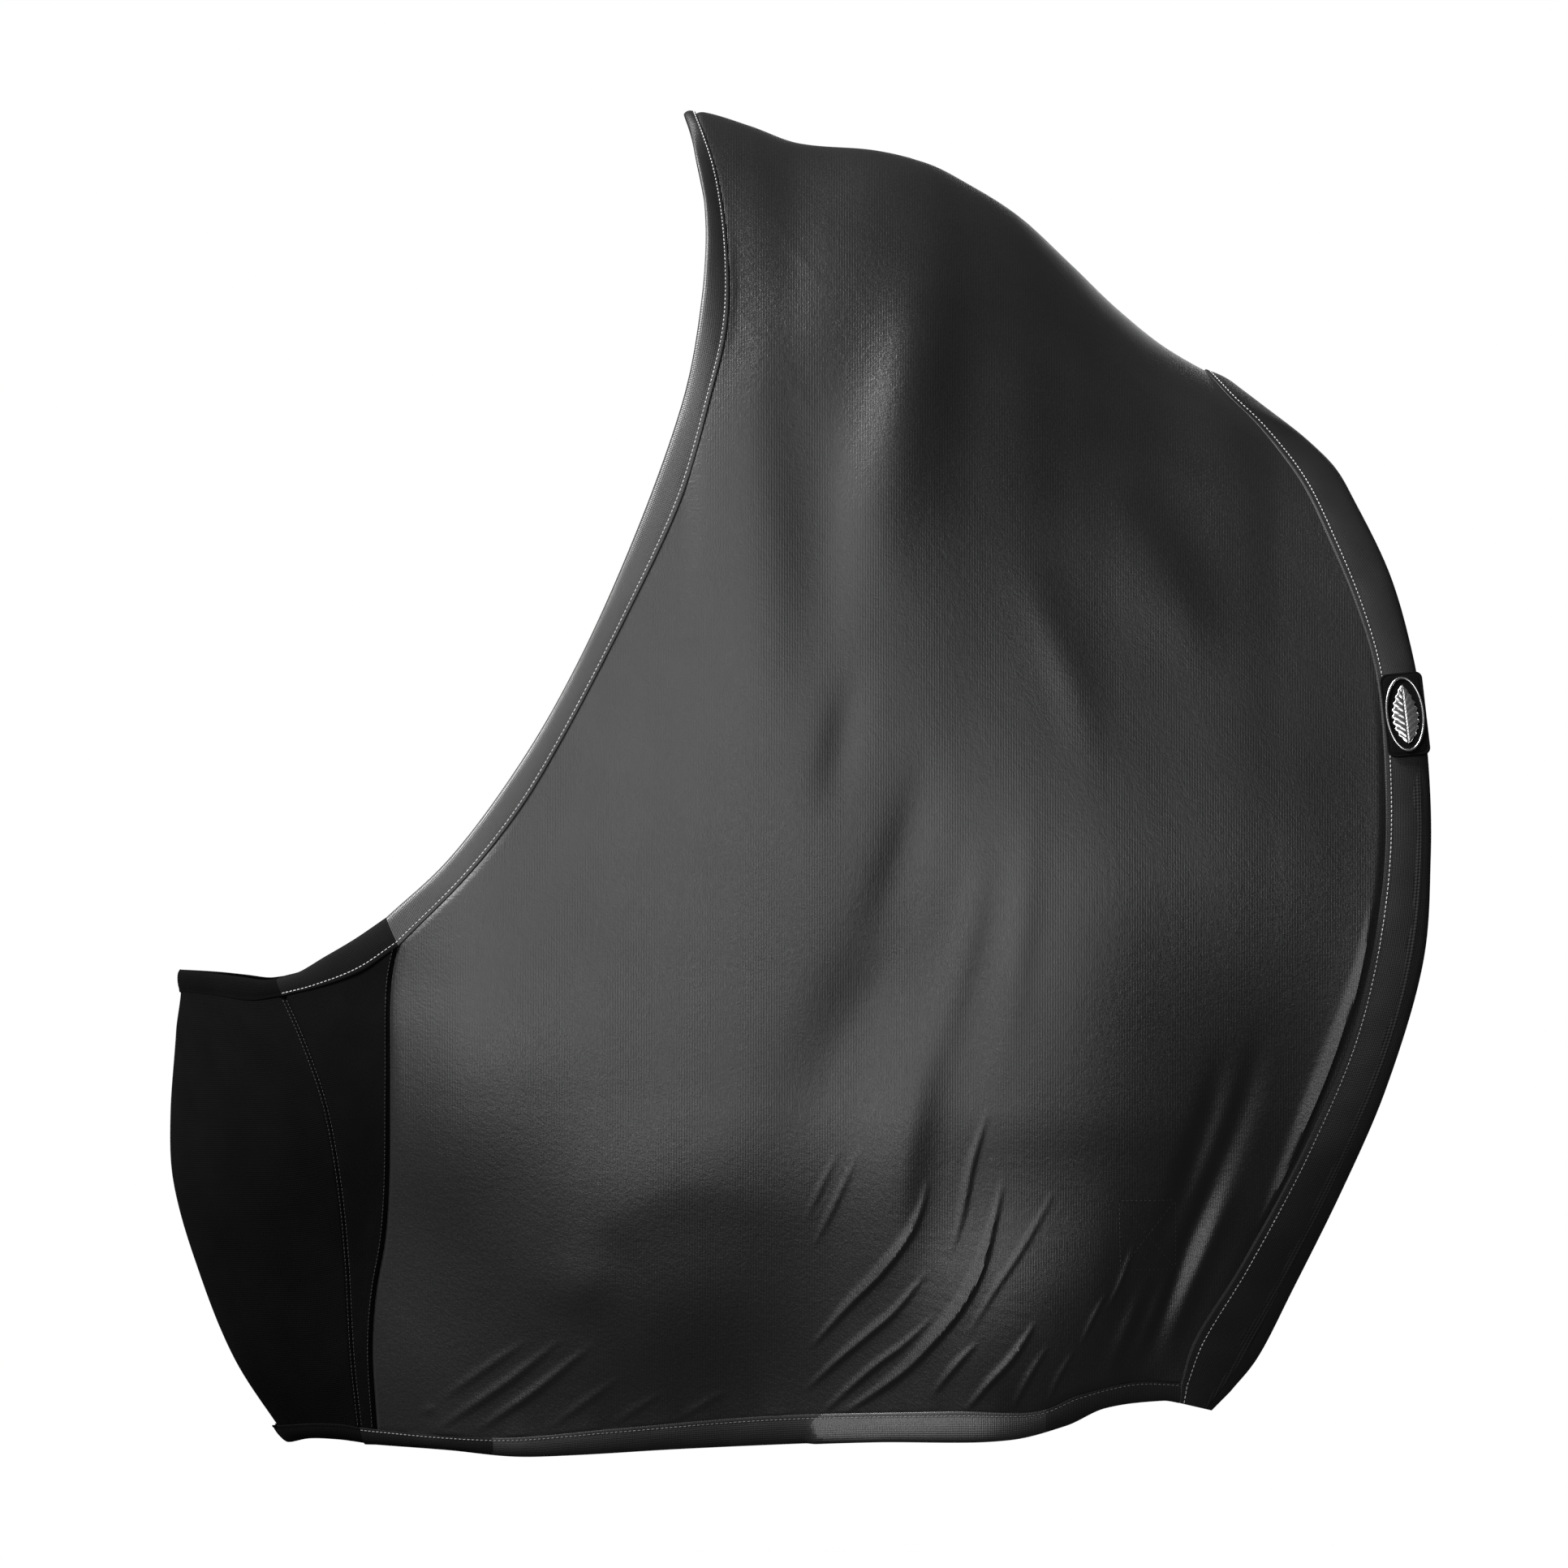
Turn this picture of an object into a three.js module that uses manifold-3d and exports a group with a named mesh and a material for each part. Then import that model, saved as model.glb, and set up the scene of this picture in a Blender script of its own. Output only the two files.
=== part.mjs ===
// Horse shoulder guard: a stretch satin bib that covers the withers, both shoulders and the chest, held by an
// elastic girth strap with a snap hook. Millimetres. Origin on the withers, +X to the horse's tail, -Y to the
// near (left) side, +Z up. The near half is worked out and the off half is its mirror image.
import * as THREE from 'three';
import { mergeVertices } from 'three/addons/utils/BufferGeometryUtils.js';
import Module from 'manifold-3d';

const wasm = await Module();
wasm.setup();

// Fabric and seams
const PANEL_T = 2.0; // shoulder panel, lining and seam allowance pressed together
const PLY_GAP = 0.7; // clear space between two layers that lie on each other
const PLY_T = 1.2; // one layer of a folded band
const SEAM_GAP = 0.3; // half of the clear space between two pieces sewn edge to edge
const SEAM_LAP = 8; // width of the first row of cells beside the gusset seam
const TUCK = 0.7; // how far into a folded band the panel's edge reaches, as a share of the band
const OUTER_FOLD = 0.94; // where the outside of a folded band starts to turn over, as a share of the band
const INNER_FOLD = 0.86; // where its inside does
const INNER_TIP = 0.9; // how far its inside reaches
const ELASTIC_SHARES = [0.38, 0.82]; // edges of the elastic inside the rear casing
const ELASTIC_INSET = 0.2; // how much thinner the elastic is on each side than the panel
const HEM_END_GAP = 4; // from the end of the bottom hem to the rear casing
const PATCH_DROP = 3.4; // from the outer surface to a patch sewn inside

// Cells along the near half
const ROWS = 30;
const NECK_ROWS = 23; // rows from the crest down to the top of the gusset
const ROW_CROWDING = 1.6; // rows crowd towards the crest, where the surface turns over
const COLUMNS = 12;
const GUSSET_COLUMNS = 3;
const CHEST_COLUMNS = 7;

// Girth strap and its fittings. The snap's own axis lies along Y; "along" runs from hook tip to strap.
const STRAP_X = 130;
const SNAP_Z = -779;
const STRAP_W = 38;
const PATCH_HALF = 24; // half the length of the girth patch
const PATCH_FOOT = 12; // from the snap's height up to the foot of the girth patch
const PATCH_H = 56;
const STRAP_T = 2.0;
const TAB_W = 26;
const TAB_T = 1.6;
const TAB_RISE = 46;
const RING_WIRE = 2.2; // radius
const RING_W = 17; // half width of the D-ring's bar, to the wire's centre
const RING_L = 30; // bar to far side, to the wire's centres
const HOOK_WIRE = 3.0;
const HOOK_BEND = 9.25; // radius of the hook's bend, and height of the ring's wire over the bolt
const HOOK_SLACK = 3.5; // from the ring's wire to the tip of the hook
const BARREL_R = 6.5;
const BORE_R = 2.7;
const BOLT_R = 2.3;
const BOLT_TO = 30;
const BOLT_TRAVEL = 7;
const BARREL_FROM = 16;
const BARREL_TO = 48;
const BORE_TO = 44;
const POST_HOLE_R = 2.2;
const POST_R = 1.9;
const EYE_FROM = 53;
const EYE_TO = 66;
const EYE_WIRE = 2.2;
const TAIL_L = 110; // length of strap that comes back from the eye
const SLIDE_AT = 116; // along the snap's axis
const SLIDE_L = 18;

// Badge on the near rear casing
const BADGE_AT = 0.356; // share of the rear edge, from the spine
const BADGE_HALF_W = 14.8;
const BADGE_HALF_H = 30;
const BADGE_CORNER = 5;
const RIM_HALF_W = 13.6;
const RIM_HALF_H = 27;
const RIM_W = 2;

// The horse that the guard is shaped on
const HALF_WIDTH = 208; // at the point of the shoulder
// Ridge of the crest, withers and back: height over the length of the horse
const RIDGE = [
  [-420, 190], [-300, 112], [-192, 45], [-178, 46], [-145, 36], [-112, 24], [-58, 19], [-21, 10], [0, 0],
  [42, -26], [79, -60], [110, -90], [146, -119], [196, -147], [225, -163], [280, -180], [340, -190],
];
// Front of the chest and neck in the middle plane: X over height
const FRONT = [
  [-888, -470], [-830, -508], [-760, -536], [-705, -551], [-660, -553], [-600, -549], [-557, -547],
  [-450, -590], [-250, -720], [50, -900],
];
// Bulges of the muscles and hollows round the elbow: centre X, centre Z, half length, half height, rise
const MUSCLES = [
  [-300, -430, 130, 150, 10], [-390, -640, 90, 90, 8], [60, -620, 130, 160, 8], [-185, -925, 125, 115, -22],
  [240, -810, 125, 210, -20], [25, -840, 95, 90, 30], [265, -720, 85, 130, -20], [310, -400, 90, 200, -14],
  [-120, -60, 70, 90, 18], [60, -60, 70, 70, -16], [-430, -730, 70, 120, -18], [-220, -800, 90, 90, 12],
];

// Edges and seams of the near half, seen from the side as [X, Z]
const OUTLINES = {
  neckEdge: [[-192, 45], [-184.5, 17], [-177.5, -24], [-176.5, -60], [-182.5, -118], [-193.5, -163], [-226.5, -254],
    [-267, -344], [-306, -412], [-356, -479], [-399, -519]],
  neckStitch: [[-185, 45.3], [-179, 29], [-170.5, 1], [-163.5, -47], [-163.5, -105], [-175.5, -159], [-194.5, -225],
    [-231, -305], [-279, -397], [-307, -443], [-344, -490], [-391, -537]],
  gussetNeckEdge: [[-399, -519], [-421, -534], [-443, -547], [-462, -558], [-476, -562]],
  gussetNeckStitch: [[-391, -537], [-418, -555], [-449, -567], [-472, -573]],
  chestNeckEdge: [[-547, -557], [-520, -559], [-502, -561], [-486, -563], [-476, -562]],
  chestNeckStitch: [[-546, -571], [-520, -573], [-493, -576], [-472, -573]],
  gussetSeam: [[-391, -537], [-396, -564], [-397, -632], [-398, -707], [-401, -745], [-407, -779],
    [-410, -819], [-407, -878]],
  chestSeam: [[-472, -573], [-458, -604], [-442, -649], [-432, -703], [-427, -753], [-423, -827],
    [-418, -877]],
  backEdge: [[196, -147], [224, -168], [246, -186], [264, -205], [277, -229], [300, -279], [314, -329],
    [323, -381], [327, -433], [327, -479], [322, -547], [296, -637], [265, -711], [233, -777], [207, -827],
    [189, -849]],
  backStitch: [[176, -137], [192, -155], [213, -176], [241, -213], [261, -255], [280, -303], [293, -351],
    [299, -428], [296, -502], [277, -597], [242, -682], [199, -763], [167, -816], [157, -844]],
  bottomEdge: [[-407, -888], [-356, -891], [-311, -895], [-272, -894], [-190, -889], [-60, -883], [35, -881],
    [74, -872], [101, -860], [141, -855], [155, -857]],
  bottomStitch: [[-407, -878], [-356, -882], [-311, -883], [-242, -877], [-134, -868], [-5, -864], [55, -863],
    [83, -852], [122, -843], [157, -844]],
  chestBottomEdge: [[-470, -889], [-455, -885], [-433, -885], [-415, -887]],
  chestBottomStitch: [[-480, -878], [-454, -875], [-432, -875], [-418, -877]],
};
const BACK_CORNER = { stitch: [155, -857], edge: [176, -862] };

function material(color, roughness, metalness = 0) {
  return new THREE.MeshStandardMaterial({ color, roughness, metalness });
}
const SATIN = () => material(0x242424, 0.45);
const MATTE = () => material(0x0f0f0f, 0.85);
const BAND = () => material(0x1c1c1c, 0.6);
const ELASTIC = () => material(0x151515, 0.9);
const WEBBING = () => material(0x141414, 0.8);
const STEEL = () => material(0xb8b8ba, 0.3, 1);
const PLASTIC = () => material(0x101010, 0.5);

const part = new THREE.Group();
function add(name, geometry, finish) {
  const mesh = new THREE.Mesh(geometry, finish);
  mesh.name = name;
  part.add(mesh);
  return mesh;
}

// ------------------------------------------------------------------------------------- the horse's surface

// Smooth curve through [at, value] points, straight beyond its ends
function through(points, at) {
  const last = points.length - 1;
  const slope = (i) => {
    const [a, b] = [points[Math.max(i - 1, 0)], points[Math.min(i + 1, last)]];
    return (b[1] - a[1]) / (b[0] - a[0]);
  };
  if (at <= points[0][0]) return points[0][1] + slope(0) * (at - points[0][0]);
  if (at >= points[last][0]) return points[last][1] + slope(last) * (at - points[last][0]);
  const i = points.findIndex((p) => p[0] > at) - 1;
  const span = points[i + 1][0] - points[i][0];
  const s = (at - points[i][0]) / span;
  const rise = s * s * (3 - 2 * s);
  return points[i][1] * (1 - rise) + points[i + 1][1] * rise
    + span * (s * (1 - s) * (1 - s) * slope(i) - s * s * (1 - s) * slope(i + 1));
}

function ease(from, to, at) {
  const s = THREE.MathUtils.clamp((at - from) / (to - from), 0, 1);
  return s * s * (3 - 2 * s);
}

// Half the width of the horse at a point of its side view: narrow and sharp at the withers, round at the
// barrel, slim at the neck, and rounded in plan towards the chest
function halfWidth(x, z) {
  const drop = Math.max(0, through(RIDGE, x) - z);
  const barrel = ease(0, 330, x);
  const blunt = 30 + 90 * barrel; // how flat the crest is
  const crown = 1 - Math.exp(-Math.sqrt(drop * (drop + blunt)) / (175 - 25 * barrel));
  const neck = ease(-90, -310, x) * ease(-640, -330, z);
  const full = HALF_WIDTH + 8 * barrel - 52 * neck;
  const tuckUnder = 1 - 0.15 * ease(-650, -890, z);
  let muscle = 1;
  for (const [cx, cz, rx, rz, rise] of MUSCLES) {
    muscle += (rise / HALF_WIDTH) * Math.exp(-(((x - cx) / rx) ** 2) - ((z - cz) / rz) ** 2);
  }
  const forward = THREE.MathUtils.clamp((20 - x) / (20 - through(FRONT, z)), 0, 1);
  return full * crown * tuckUnder * muscle * Math.sqrt(Math.max(0, 1 - forward ** 2.6));
}

// Point on the near side with its outward normal, in the middle plane if the width there is nothing
function onHorse(x, z, middleY = -SEAM_GAP) {
  const y = -halfWidth(x, z);
  if (y < -1.5) {
    const step = 0.5;
    const slopeX = (halfWidth(x + step, z) - halfWidth(x - step, z)) / (2 * step);
    const slopeZ = (halfWidth(x, z + step) - halfWidth(x, z - step)) / (2 * step);
    return { p: new THREE.Vector3(x, y, z), n: new THREE.Vector3(-slopeX, -1, -slopeZ).normalize() };
  }
  const onRidge = z > -400;
  const step = 2;
  const n = onRidge
    ? new THREE.Vector3(through(RIDGE, x - step) - through(RIDGE, x + step), 0, 2 * step)
    : new THREE.Vector3(-2 * step, 0, through(FRONT, z + step) - through(FRONT, z - step));
  return { p: new THREE.Vector3(x, middleY, z), n: n.normalize() };
}

function outline(name) {
  const points = OUTLINES[name].map(([x, z]) => new THREE.Vector3(x, 0, z));
  return new THREE.CatmullRomCurve3(points, false, 'centripetal');
}

// Four-sided patch of the side view between a left, right, top and bottom curve
function coons(left, right, top, bottom) {
  return (u, s) => {
    const [l, r, t, b] = [left(s), right(s), top(u), bottom(u)];
    const [tl, tr, bl, br] = [top(0), top(1), bottom(0), bottom(1)];
    const blend = (k) => (1 - s) * t[k] + s * b[k] + (1 - u) * l[k] + u * r[k]
      - (1 - u) * (1 - s) * tl[k] - u * (1 - s) * tr[k] - (1 - u) * s * bl[k] - u * s * br[k];
    return new THREE.Vector3(blend('x'), 0, blend('z'));
  };
}

// -------------------------------------------------------------------------------------------- solid makers

// Closed body between two grids of points, [station][k], that lie face to face
function closedShell(front, back) {
  const [m, n] = [front.length, front[0].length];
  const positions = [];
  for (const grid of [front, back]) {
    for (const row of grid) for (const p of row) positions.push(p.x, p.y, p.z);
  }
  const at = (side, i, k) => side * m * n + i * n + k;
  const index = [];
  // a and d belong to one station: the cut starts at the one further forward and up, so layers are cut alike
  const CUT_LEAN = 0.45;
  const ahead = (i) => positions[3 * i] - CUT_LEAN * positions[3 * i + 2];
  const quad = (a, b, c, d) => {
    index.push(...(ahead(a) <= ahead(d) ? [a, b, c, a, c, d] : [b, c, d, b, d, a]));
  };
  for (let i = 0; i + 1 < m; i++) {
    for (let k = 0; k + 1 < n; k++) {
      quad(at(0, i, k), at(0, i + 1, k), at(0, i + 1, k + 1), at(0, i, k + 1));
      quad(at(1, i, k + 1), at(1, i + 1, k + 1), at(1, i + 1, k), at(1, i, k));
    }
    quad(at(0, i, 0), at(1, i, 0), at(1, i + 1, 0), at(0, i + 1, 0));
    quad(at(0, i, n - 1), at(0, i + 1, n - 1), at(1, i + 1, n - 1), at(1, i, n - 1));
  }
  for (let k = 0; k + 1 < n; k++) {
    quad(at(0, 0, k), at(0, 0, k + 1), at(1, 0, k + 1), at(1, 0, k));
    quad(at(0, m - 1, k), at(1, m - 1, k), at(1, m - 1, k + 1), at(0, m - 1, k + 1));
  }
  const geometry = new THREE.BufferGeometry();
  geometry.setAttribute('position', new THREE.Float32BufferAttribute(positions, 3));
  geometry.setIndex(volume(positions, index) < 0 ? flipped(index) : index);
  geometry.computeVertexNormals();
  return geometry;
}

function volume(positions, index) {
  const corner = (i) => new THREE.Vector3().fromArray(positions, 3 * index[i]);
  let sum = 0;
  for (let i = 0; i < index.length; i += 3) sum += corner(i).dot(corner(i + 1).cross(corner(i + 2)));
  return sum / 6;
}

function flipped(index) {
  const turned = index.slice();
  for (let i = 0; i < turned.length; i += 3) [turned[i], turned[i + 1]] = [turned[i + 1], turned[i]];
  return turned;
}

// The same body on the off side
function mirrored(geometry) {
  const positions = Array.from(geometry.attributes.position.array);
  for (let i = 1; i < positions.length; i += 3) positions[i] = -positions[i];
  const copy = new THREE.BufferGeometry();
  copy.setAttribute('position', new THREE.Float32BufferAttribute(positions, 3));
  copy.setIndex(flipped(Array.from(geometry.index.array)));
  copy.computeVertexNormals();
  return copy;
}

function addPair(name, geometry, finish) {
  add(`near_${name}`, geometry, finish());
  add(`off_${name}`, mirrored(geometry), finish());
}

const moved = (q, offset) => q.p.clone().addScaledVector(q.n, offset);
const mirrorPoint = (q) => ({
  p: q.p.clone().multiply(new THREE.Vector3(1, -1, 1)), n: q.n.clone().multiply(new THREE.Vector3(1, -1, 1)),
});

// Sheet of the given thickness under a grid of surface points
function sheet(grid, from, to) {
  return closedShell(grid.map((row) => row.map((q) => moved(q, from))),
    grid.map((row) => row.map((q) => moved(q, to))));
}

// Point of a folded band: 0 at its stitch line, 1 at its outer edge
function across(station, share) {
  const { stitch, edge } = station;
  return { p: stitch.p.clone().lerp(edge.p, share), n: stitch.n.clone().lerp(edge.n, share).normalize() };
}

// Folded band round an edge: a U of two plies with the panel's edge between them
function foldedBand(stations) {
  const outside = [PLY_GAP + PLY_T, -PANEL_T - PLY_GAP - PLY_T];
  const inside = [PLY_GAP, -PANEL_T - PLY_GAP];
  const middle = -PANEL_T / 2;
  const u = (station, [near, far], fold, tip) => [
    moved(across(station, 0), near), moved(across(station, fold), near), moved(across(station, tip), middle),
    moved(across(station, fold), far), moved(across(station, 0), far),
  ];
  return closedShell(stations.map((s) => u(s, outside, OUTER_FOLD, 1)),
    stations.map((s) => u(s, inside, INNER_FOLD, INNER_TIP)));
}

function solid(geometry) {
  const bare = geometry.clone();
  bare.deleteAttribute('normal');
  bare.deleteAttribute('uv');
  const merged = mergeVertices(bare, 1e-4);
  return new wasm.Manifold(new wasm.Mesh({
    numProp: 3, vertProperties: new Float32Array(merged.attributes.position.array),
    triVerts: new Uint32Array(merged.index.array),
  }));
}

function geometryOf(manifold) {
  const mesh = manifold.getMesh();
  const geometry = new THREE.BufferGeometry();
  geometry.setAttribute('position', new THREE.Float32BufferAttribute(mesh.vertProperties, 3));
  geometry.setIndex(Array.from(mesh.triVerts));
  geometry.computeVertexNormals();
  return geometry;
}

// -------------------------------------------------------------------------------- the cut of the near half

const rowShare = Array.from({ length: ROWS + 1 }, (_, i) => (i / ROWS) ** ROW_CROWDING);
const gussetTop = rowShare[NECK_ROWS];
const curves = Object.fromEntries(Object.keys(OUTLINES).map((name) => [name, outline(name)]));
const seamShare = (s) => (s - gussetTop) / (1 - gussetTop);

// The shoulder panel's front boundary: the neck's stitch line, then a line one cell behind the gusset seam
function panelFront(s) {
  if (s < gussetTop - 1e-9) return curves.neckStitch.getPointAt(s / gussetTop);
  const seam = curves.gussetSeam.getPointAt(seamShare(s));
  seam.x += SEAM_GAP + SEAM_LAP;
  return seam;
}

function ridgeLine(u) {
  const x = THREE.MathUtils.lerp(OUTLINES.neckStitch[0][0], OUTLINES.backStitch[0][0], u);
  return new THREE.Vector3(x, 0, through(RIDGE, x));
}

const lineOf = (name) => (t) => curves[name].getPointAt(t);

// The stretch of the bottom stitch line behind the gusset's own bottom
function panelBottom(u) {
  const start = panelFront(1);
  const line = curves.bottomStitch.getPointAt(u);
  return line.add(start.sub(curves.bottomStitch.getPointAt(0)).multiplyScalar(1 - u));
}

function surface(v, middleY) {
  return onHorse(v.x, v.z, middleY);
}

// Stations of the neck band beside the shoulder panel, and of the rear casing
const neckStations = rowShare.slice(0, NECK_ROWS + 1).map((s) => ({
  stitch: surface(curves.neckStitch.getPointAt(s / gussetTop)),
  edge: surface(curves.neckEdge.getPointAt(s / gussetTop)),
}));
const backStations = rowShare.map((s) => ({
  stitch: surface(curves.backStitch.getPointAt(s)), edge: surface(curves.backEdge.getPointAt(s)),
}));
const backCorner = { stitch: onHorse(...BACK_CORNER.stitch), edge: onHorse(...BACK_CORNER.edge) };

function shoulderGrid() {
  const patch = coons(panelFront, lineOf('backStitch'), ridgeLine, panelBottom);
  const grid = rowShare.map((s, i) => {
    const row = Array.from({ length: COLUMNS + 1 }, (_, k) => surface(patch(k / COLUMNS, s)));
    if (i < NECK_ROWS) {
      row[0] = neckStations[i].stitch;
      row.unshift(across(neckStations[i], TUCK));
    } else {
      const seam = curves.gussetSeam.getPointAt(seamShare(s));
      row.unshift(onHorse(seam.x + SEAM_GAP, seam.z));
    }
    row[row.length - 1] = backStations[i].stitch;
    row.push(across(backStations[i], 1 - TUCK));
    return row;
  });
  return grid;
}

const shoulder = shoulderGrid();

// Stations of the bottom hem under the shoulder panel
const bottomRow = shoulder[ROWS];
const bottomStations = bottomRow.slice(0, COLUMNS + 2).map((q) => ({
  stitch: q, edge: onHorse(q.p.x, through(OUTLINES.bottomEdge, q.p.x)),
}));

function shoulderPanel() {
  const tucked = bottomStations.map((station) => across(station, TUCK));
  tucked.push(across(backCorner, 1 - TUCK));
  return sheet([...shoulder, tucked], 0, -PANEL_T);
}

// Gusset and chest share their rows with the lower part of the shoulder panel
const lowerShare = rowShare.slice(NECK_ROWS).map(seamShare);

// Column k of a low panel, as surface points on the stitch lines and rows, plus its band stations
function lowerColumns(patch, edgeTop, edgeBottom, shares, middleY) {
  return shares.map((u) => {
    const rows = lowerShare.map((s) => surface(patch(u, s), middleY));
    const top = { stitch: rows[0], edge: surface(edgeTop(u), middleY) };
    const bottom = { stitch: rows[rows.length - 1], edge: surface(edgeBottom(u), middleY) };
    return { rows, top, bottom };
  });
}

const columnSheet = (columns) => sheet(columns.map(({ rows, top, bottom }) => (
  [across(top, TUCK), ...rows, across(bottom, TUCK)])), 0, -PANEL_T);

function shifted(line, dx) {
  return (t) => line(t).add(new THREE.Vector3(dx, 0, 0));
}

function gussetColumns() {
  const front = shifted(lineOf('chestSeam'), SEAM_GAP);
  const rear = shifted(lineOf('gussetSeam'), -SEAM_GAP);
  const backwards = (name) => (u) => curves[name].getPointAt(1 - u);
  const top = backwards('gussetNeckStitch');
  const bottom = (u) => front(1).lerp(rear(1), u);
  const edgeBottom = (u) => new THREE.Vector3(
    THREE.MathUtils.lerp(OUTLINES.chestBottomEdge[3][0], OUTLINES.bottomEdge[0][0], u), 0, -888);
  const patch = coons(front, rear, top, bottom);
  const shares = Array.from({ length: GUSSET_COLUMNS + 1 }, (_, k) => k / GUSSET_COLUMNS);
  return lowerColumns(patch, backwards('gussetNeckEdge'), edgeBottom, shares);
}

function chestColumns() {
  const middle = (s) => {
    const z = THREE.MathUtils.lerp(OUTLINES.chestNeckStitch[0][1], OUTLINES.chestBottomStitch[0][1], s);
    return new THREE.Vector3(through(FRONT, z), 0, z);
  };
  const rear = shifted(lineOf('chestSeam'), -SEAM_GAP);
  const patch = coons(middle, rear, lineOf('chestNeckStitch'), lineOf('chestBottomStitch'));
  const shares = Array.from({ length: CHEST_COLUMNS + 1 }, (_, k) => (k / CHEST_COLUMNS) ** 1.9);
  return lowerColumns(patch, lineOf('chestNeckEdge'), lineOf('chestBottomEdge'), shares, 0);
}

// Near columns from seam to middle, then the off columns from the middle to the other seam
function bothSides(columns) {
  const mirrorStation = ({ stitch, edge }) => ({ stitch: mirrorPoint(stitch), edge: mirrorPoint(edge) });
  const off = columns.slice(1).map(({ rows, top, bottom }) => (
    { rows: rows.map(mirrorPoint), top: mirrorStation(top), bottom: mirrorStation(bottom) }));
  return [...columns.slice().reverse(), ...off];
}

const gusset = gussetColumns();
const chest = bothSides(chestColumns());

// Shortens a band by a gap at each end
function trimmed(stations, gap, lastGap = gap) {
  const shift = (a, b, trim) => {
    const share = trim / a.stitch.p.distanceTo(b.stitch.p);
    const mix = (q, r) => ({ p: q.p.clone().lerp(r.p, share), n: q.n.clone().lerp(r.n, share).normalize() });
    return { stitch: mix(a.stitch, b.stitch), edge: mix(a.edge, b.edge) };
  };
  const last = stations.length - 1;
  const end = shift(stations[last], stations[last - 1], lastGap);
  return [shift(stations[0], stations[1], gap), ...stations.slice(1, last), end];
}

addPair('shoulder_panel', shoulderPanel(), SATIN);
addPair('chest_gusset', columnSheet(gusset), MATTE);
add('chest_panel', columnSheet(chest), MATTE());

function neckBand() {
  const besideGusset = gusset.slice(0, GUSSET_COLUMNS).reverse().map((column) => column.top);
  return foldedBand([...neckStations, ...besideGusset]);
}
addPair('neck_binding', neckBand(), BAND);
add('chest_neck_binding', foldedBand(trimmed(chest.map((column) => column.top), SEAM_GAP)), BAND());

addPair('back_casing', foldedBand([...backStations, backCorner]), BAND);
const elasticGrid = [...backStations, backCorner].map((station) => (
  ELASTIC_SHARES.map((share) => across(station, share))));
addPair('back_elastic', sheet(elasticGrid, -ELASTIC_INSET, -PANEL_T + ELASTIC_INSET), ELASTIC);

function nearBottomHem() {
  const underGusset = gusset.slice(0, GUSSET_COLUMNS).map((column) => column.bottom);
  const underPanel = bottomStations.slice(0, COLUMNS + 2);
  return foldedBand(trimmed([...underGusset, ...underPanel], 2 * SEAM_GAP, HEM_END_GAP));
}
addPair('bottom_hem', nearBottomHem(), BAND);
add('chest_bottom_hem', foldedBand(trimmed(chest.map((column) => column.bottom), SEAM_GAP)), BAND());

// Tape inside the crest, over the seam of the two shoulder panels
function crestTape() {
  const tapeShare = 0.55;
  const half = shoulder[0].slice(1, COLUMNS + 2).map((q, k) => {
    const next = shoulder[1][k + 1];
    const side = across({ stitch: q, edge: next }, tapeShare);
    return [side, { p: q.p.clone().setY(0), n: q.n }, mirrorPoint(side)];
  });
  return sheet(half.slice(1, -1), -PANEL_T - PLY_GAP, -PANEL_T - PLY_GAP - PLY_T);
}
add('crest_seam_tape', crestTape(), BAND());

// Small patch inside the near panel, cut square in the side view
function insidePatch(x0, x1, z0, z1, drop, thickness) {
  const steps = [0, 1 / 3, 2 / 3, 1];
  const grid = steps.map((v) => steps.map((u) => onHorse(x0 + (x1 - x0) * u, z0 + (z1 - z0) * v)));
  return sheet(grid, -drop, -drop - thickness);
}
addPair('girth_patch', insidePatch(STRAP_X - PATCH_HALF, STRAP_X + PATCH_HALF, SNAP_Z + PATCH_FOOT,
  SNAP_Z + PATCH_FOOT + PATCH_H, PATCH_DROP, PLY_T), BAND);
add('care_label', insidePatch(-20, 15, -250, -195, PATCH_DROP, 0.6), material(0xd8d8d4, 0.9));

// ------------------------------------------------------------------------------------ girth strap and snap

// Y of the inside of the near girth patch at a height, where it comes furthest in under the strap
function patchFace(z) {
  const q = onHorse(STRAP_X + STRAP_W / 2, z);
  return moved(q, -PATCH_DROP - PLY_T - 2 * PLY_GAP).y;
}

// Flat band of the given width in X along points of the YZ plane
function ribbon(points, thickness, width) {
  const side = (offset) => points.map(([y, z], i) => {
    const [a, b] = [points[Math.max(i - 1, 0)], points[Math.min(i + 1, points.length - 1)]];
    const run = new THREE.Vector2(b[0] - a[0], b[1] - a[1]).normalize();
    return [-1, 1].map((e) => new THREE.Vector3(
      STRAP_X + e * width / 2, y - run.y * offset, z + run.x * offset));
  });
  return closedShell(side(thickness / 2), side(-thickness / 2));
}

function arc(cy, cz, r, fromDeg, toDeg, steps) {
  return Array.from({ length: steps + 1 }, (_, i) => {
    const a = THREE.MathUtils.degToRad(fromDeg + ((toDeg - fromDeg) * i) / steps);
    return [cy + r * Math.cos(a), cz + r * Math.sin(a)];
  });
}

const RING_Z = SNAP_Z + HOOK_BEND;
const TAB_TOP = SNAP_Z + PATCH_FOOT + TAB_RISE;
const loopR = RING_WIRE + PLY_GAP + TAB_T / 2;
const ringY = patchFace(RING_Z) + 1 + TAB_T / 2 + loopR;
const along = (a) => ringY + RING_L + HOOK_SLACK + a; // Y on the snap axis

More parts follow.
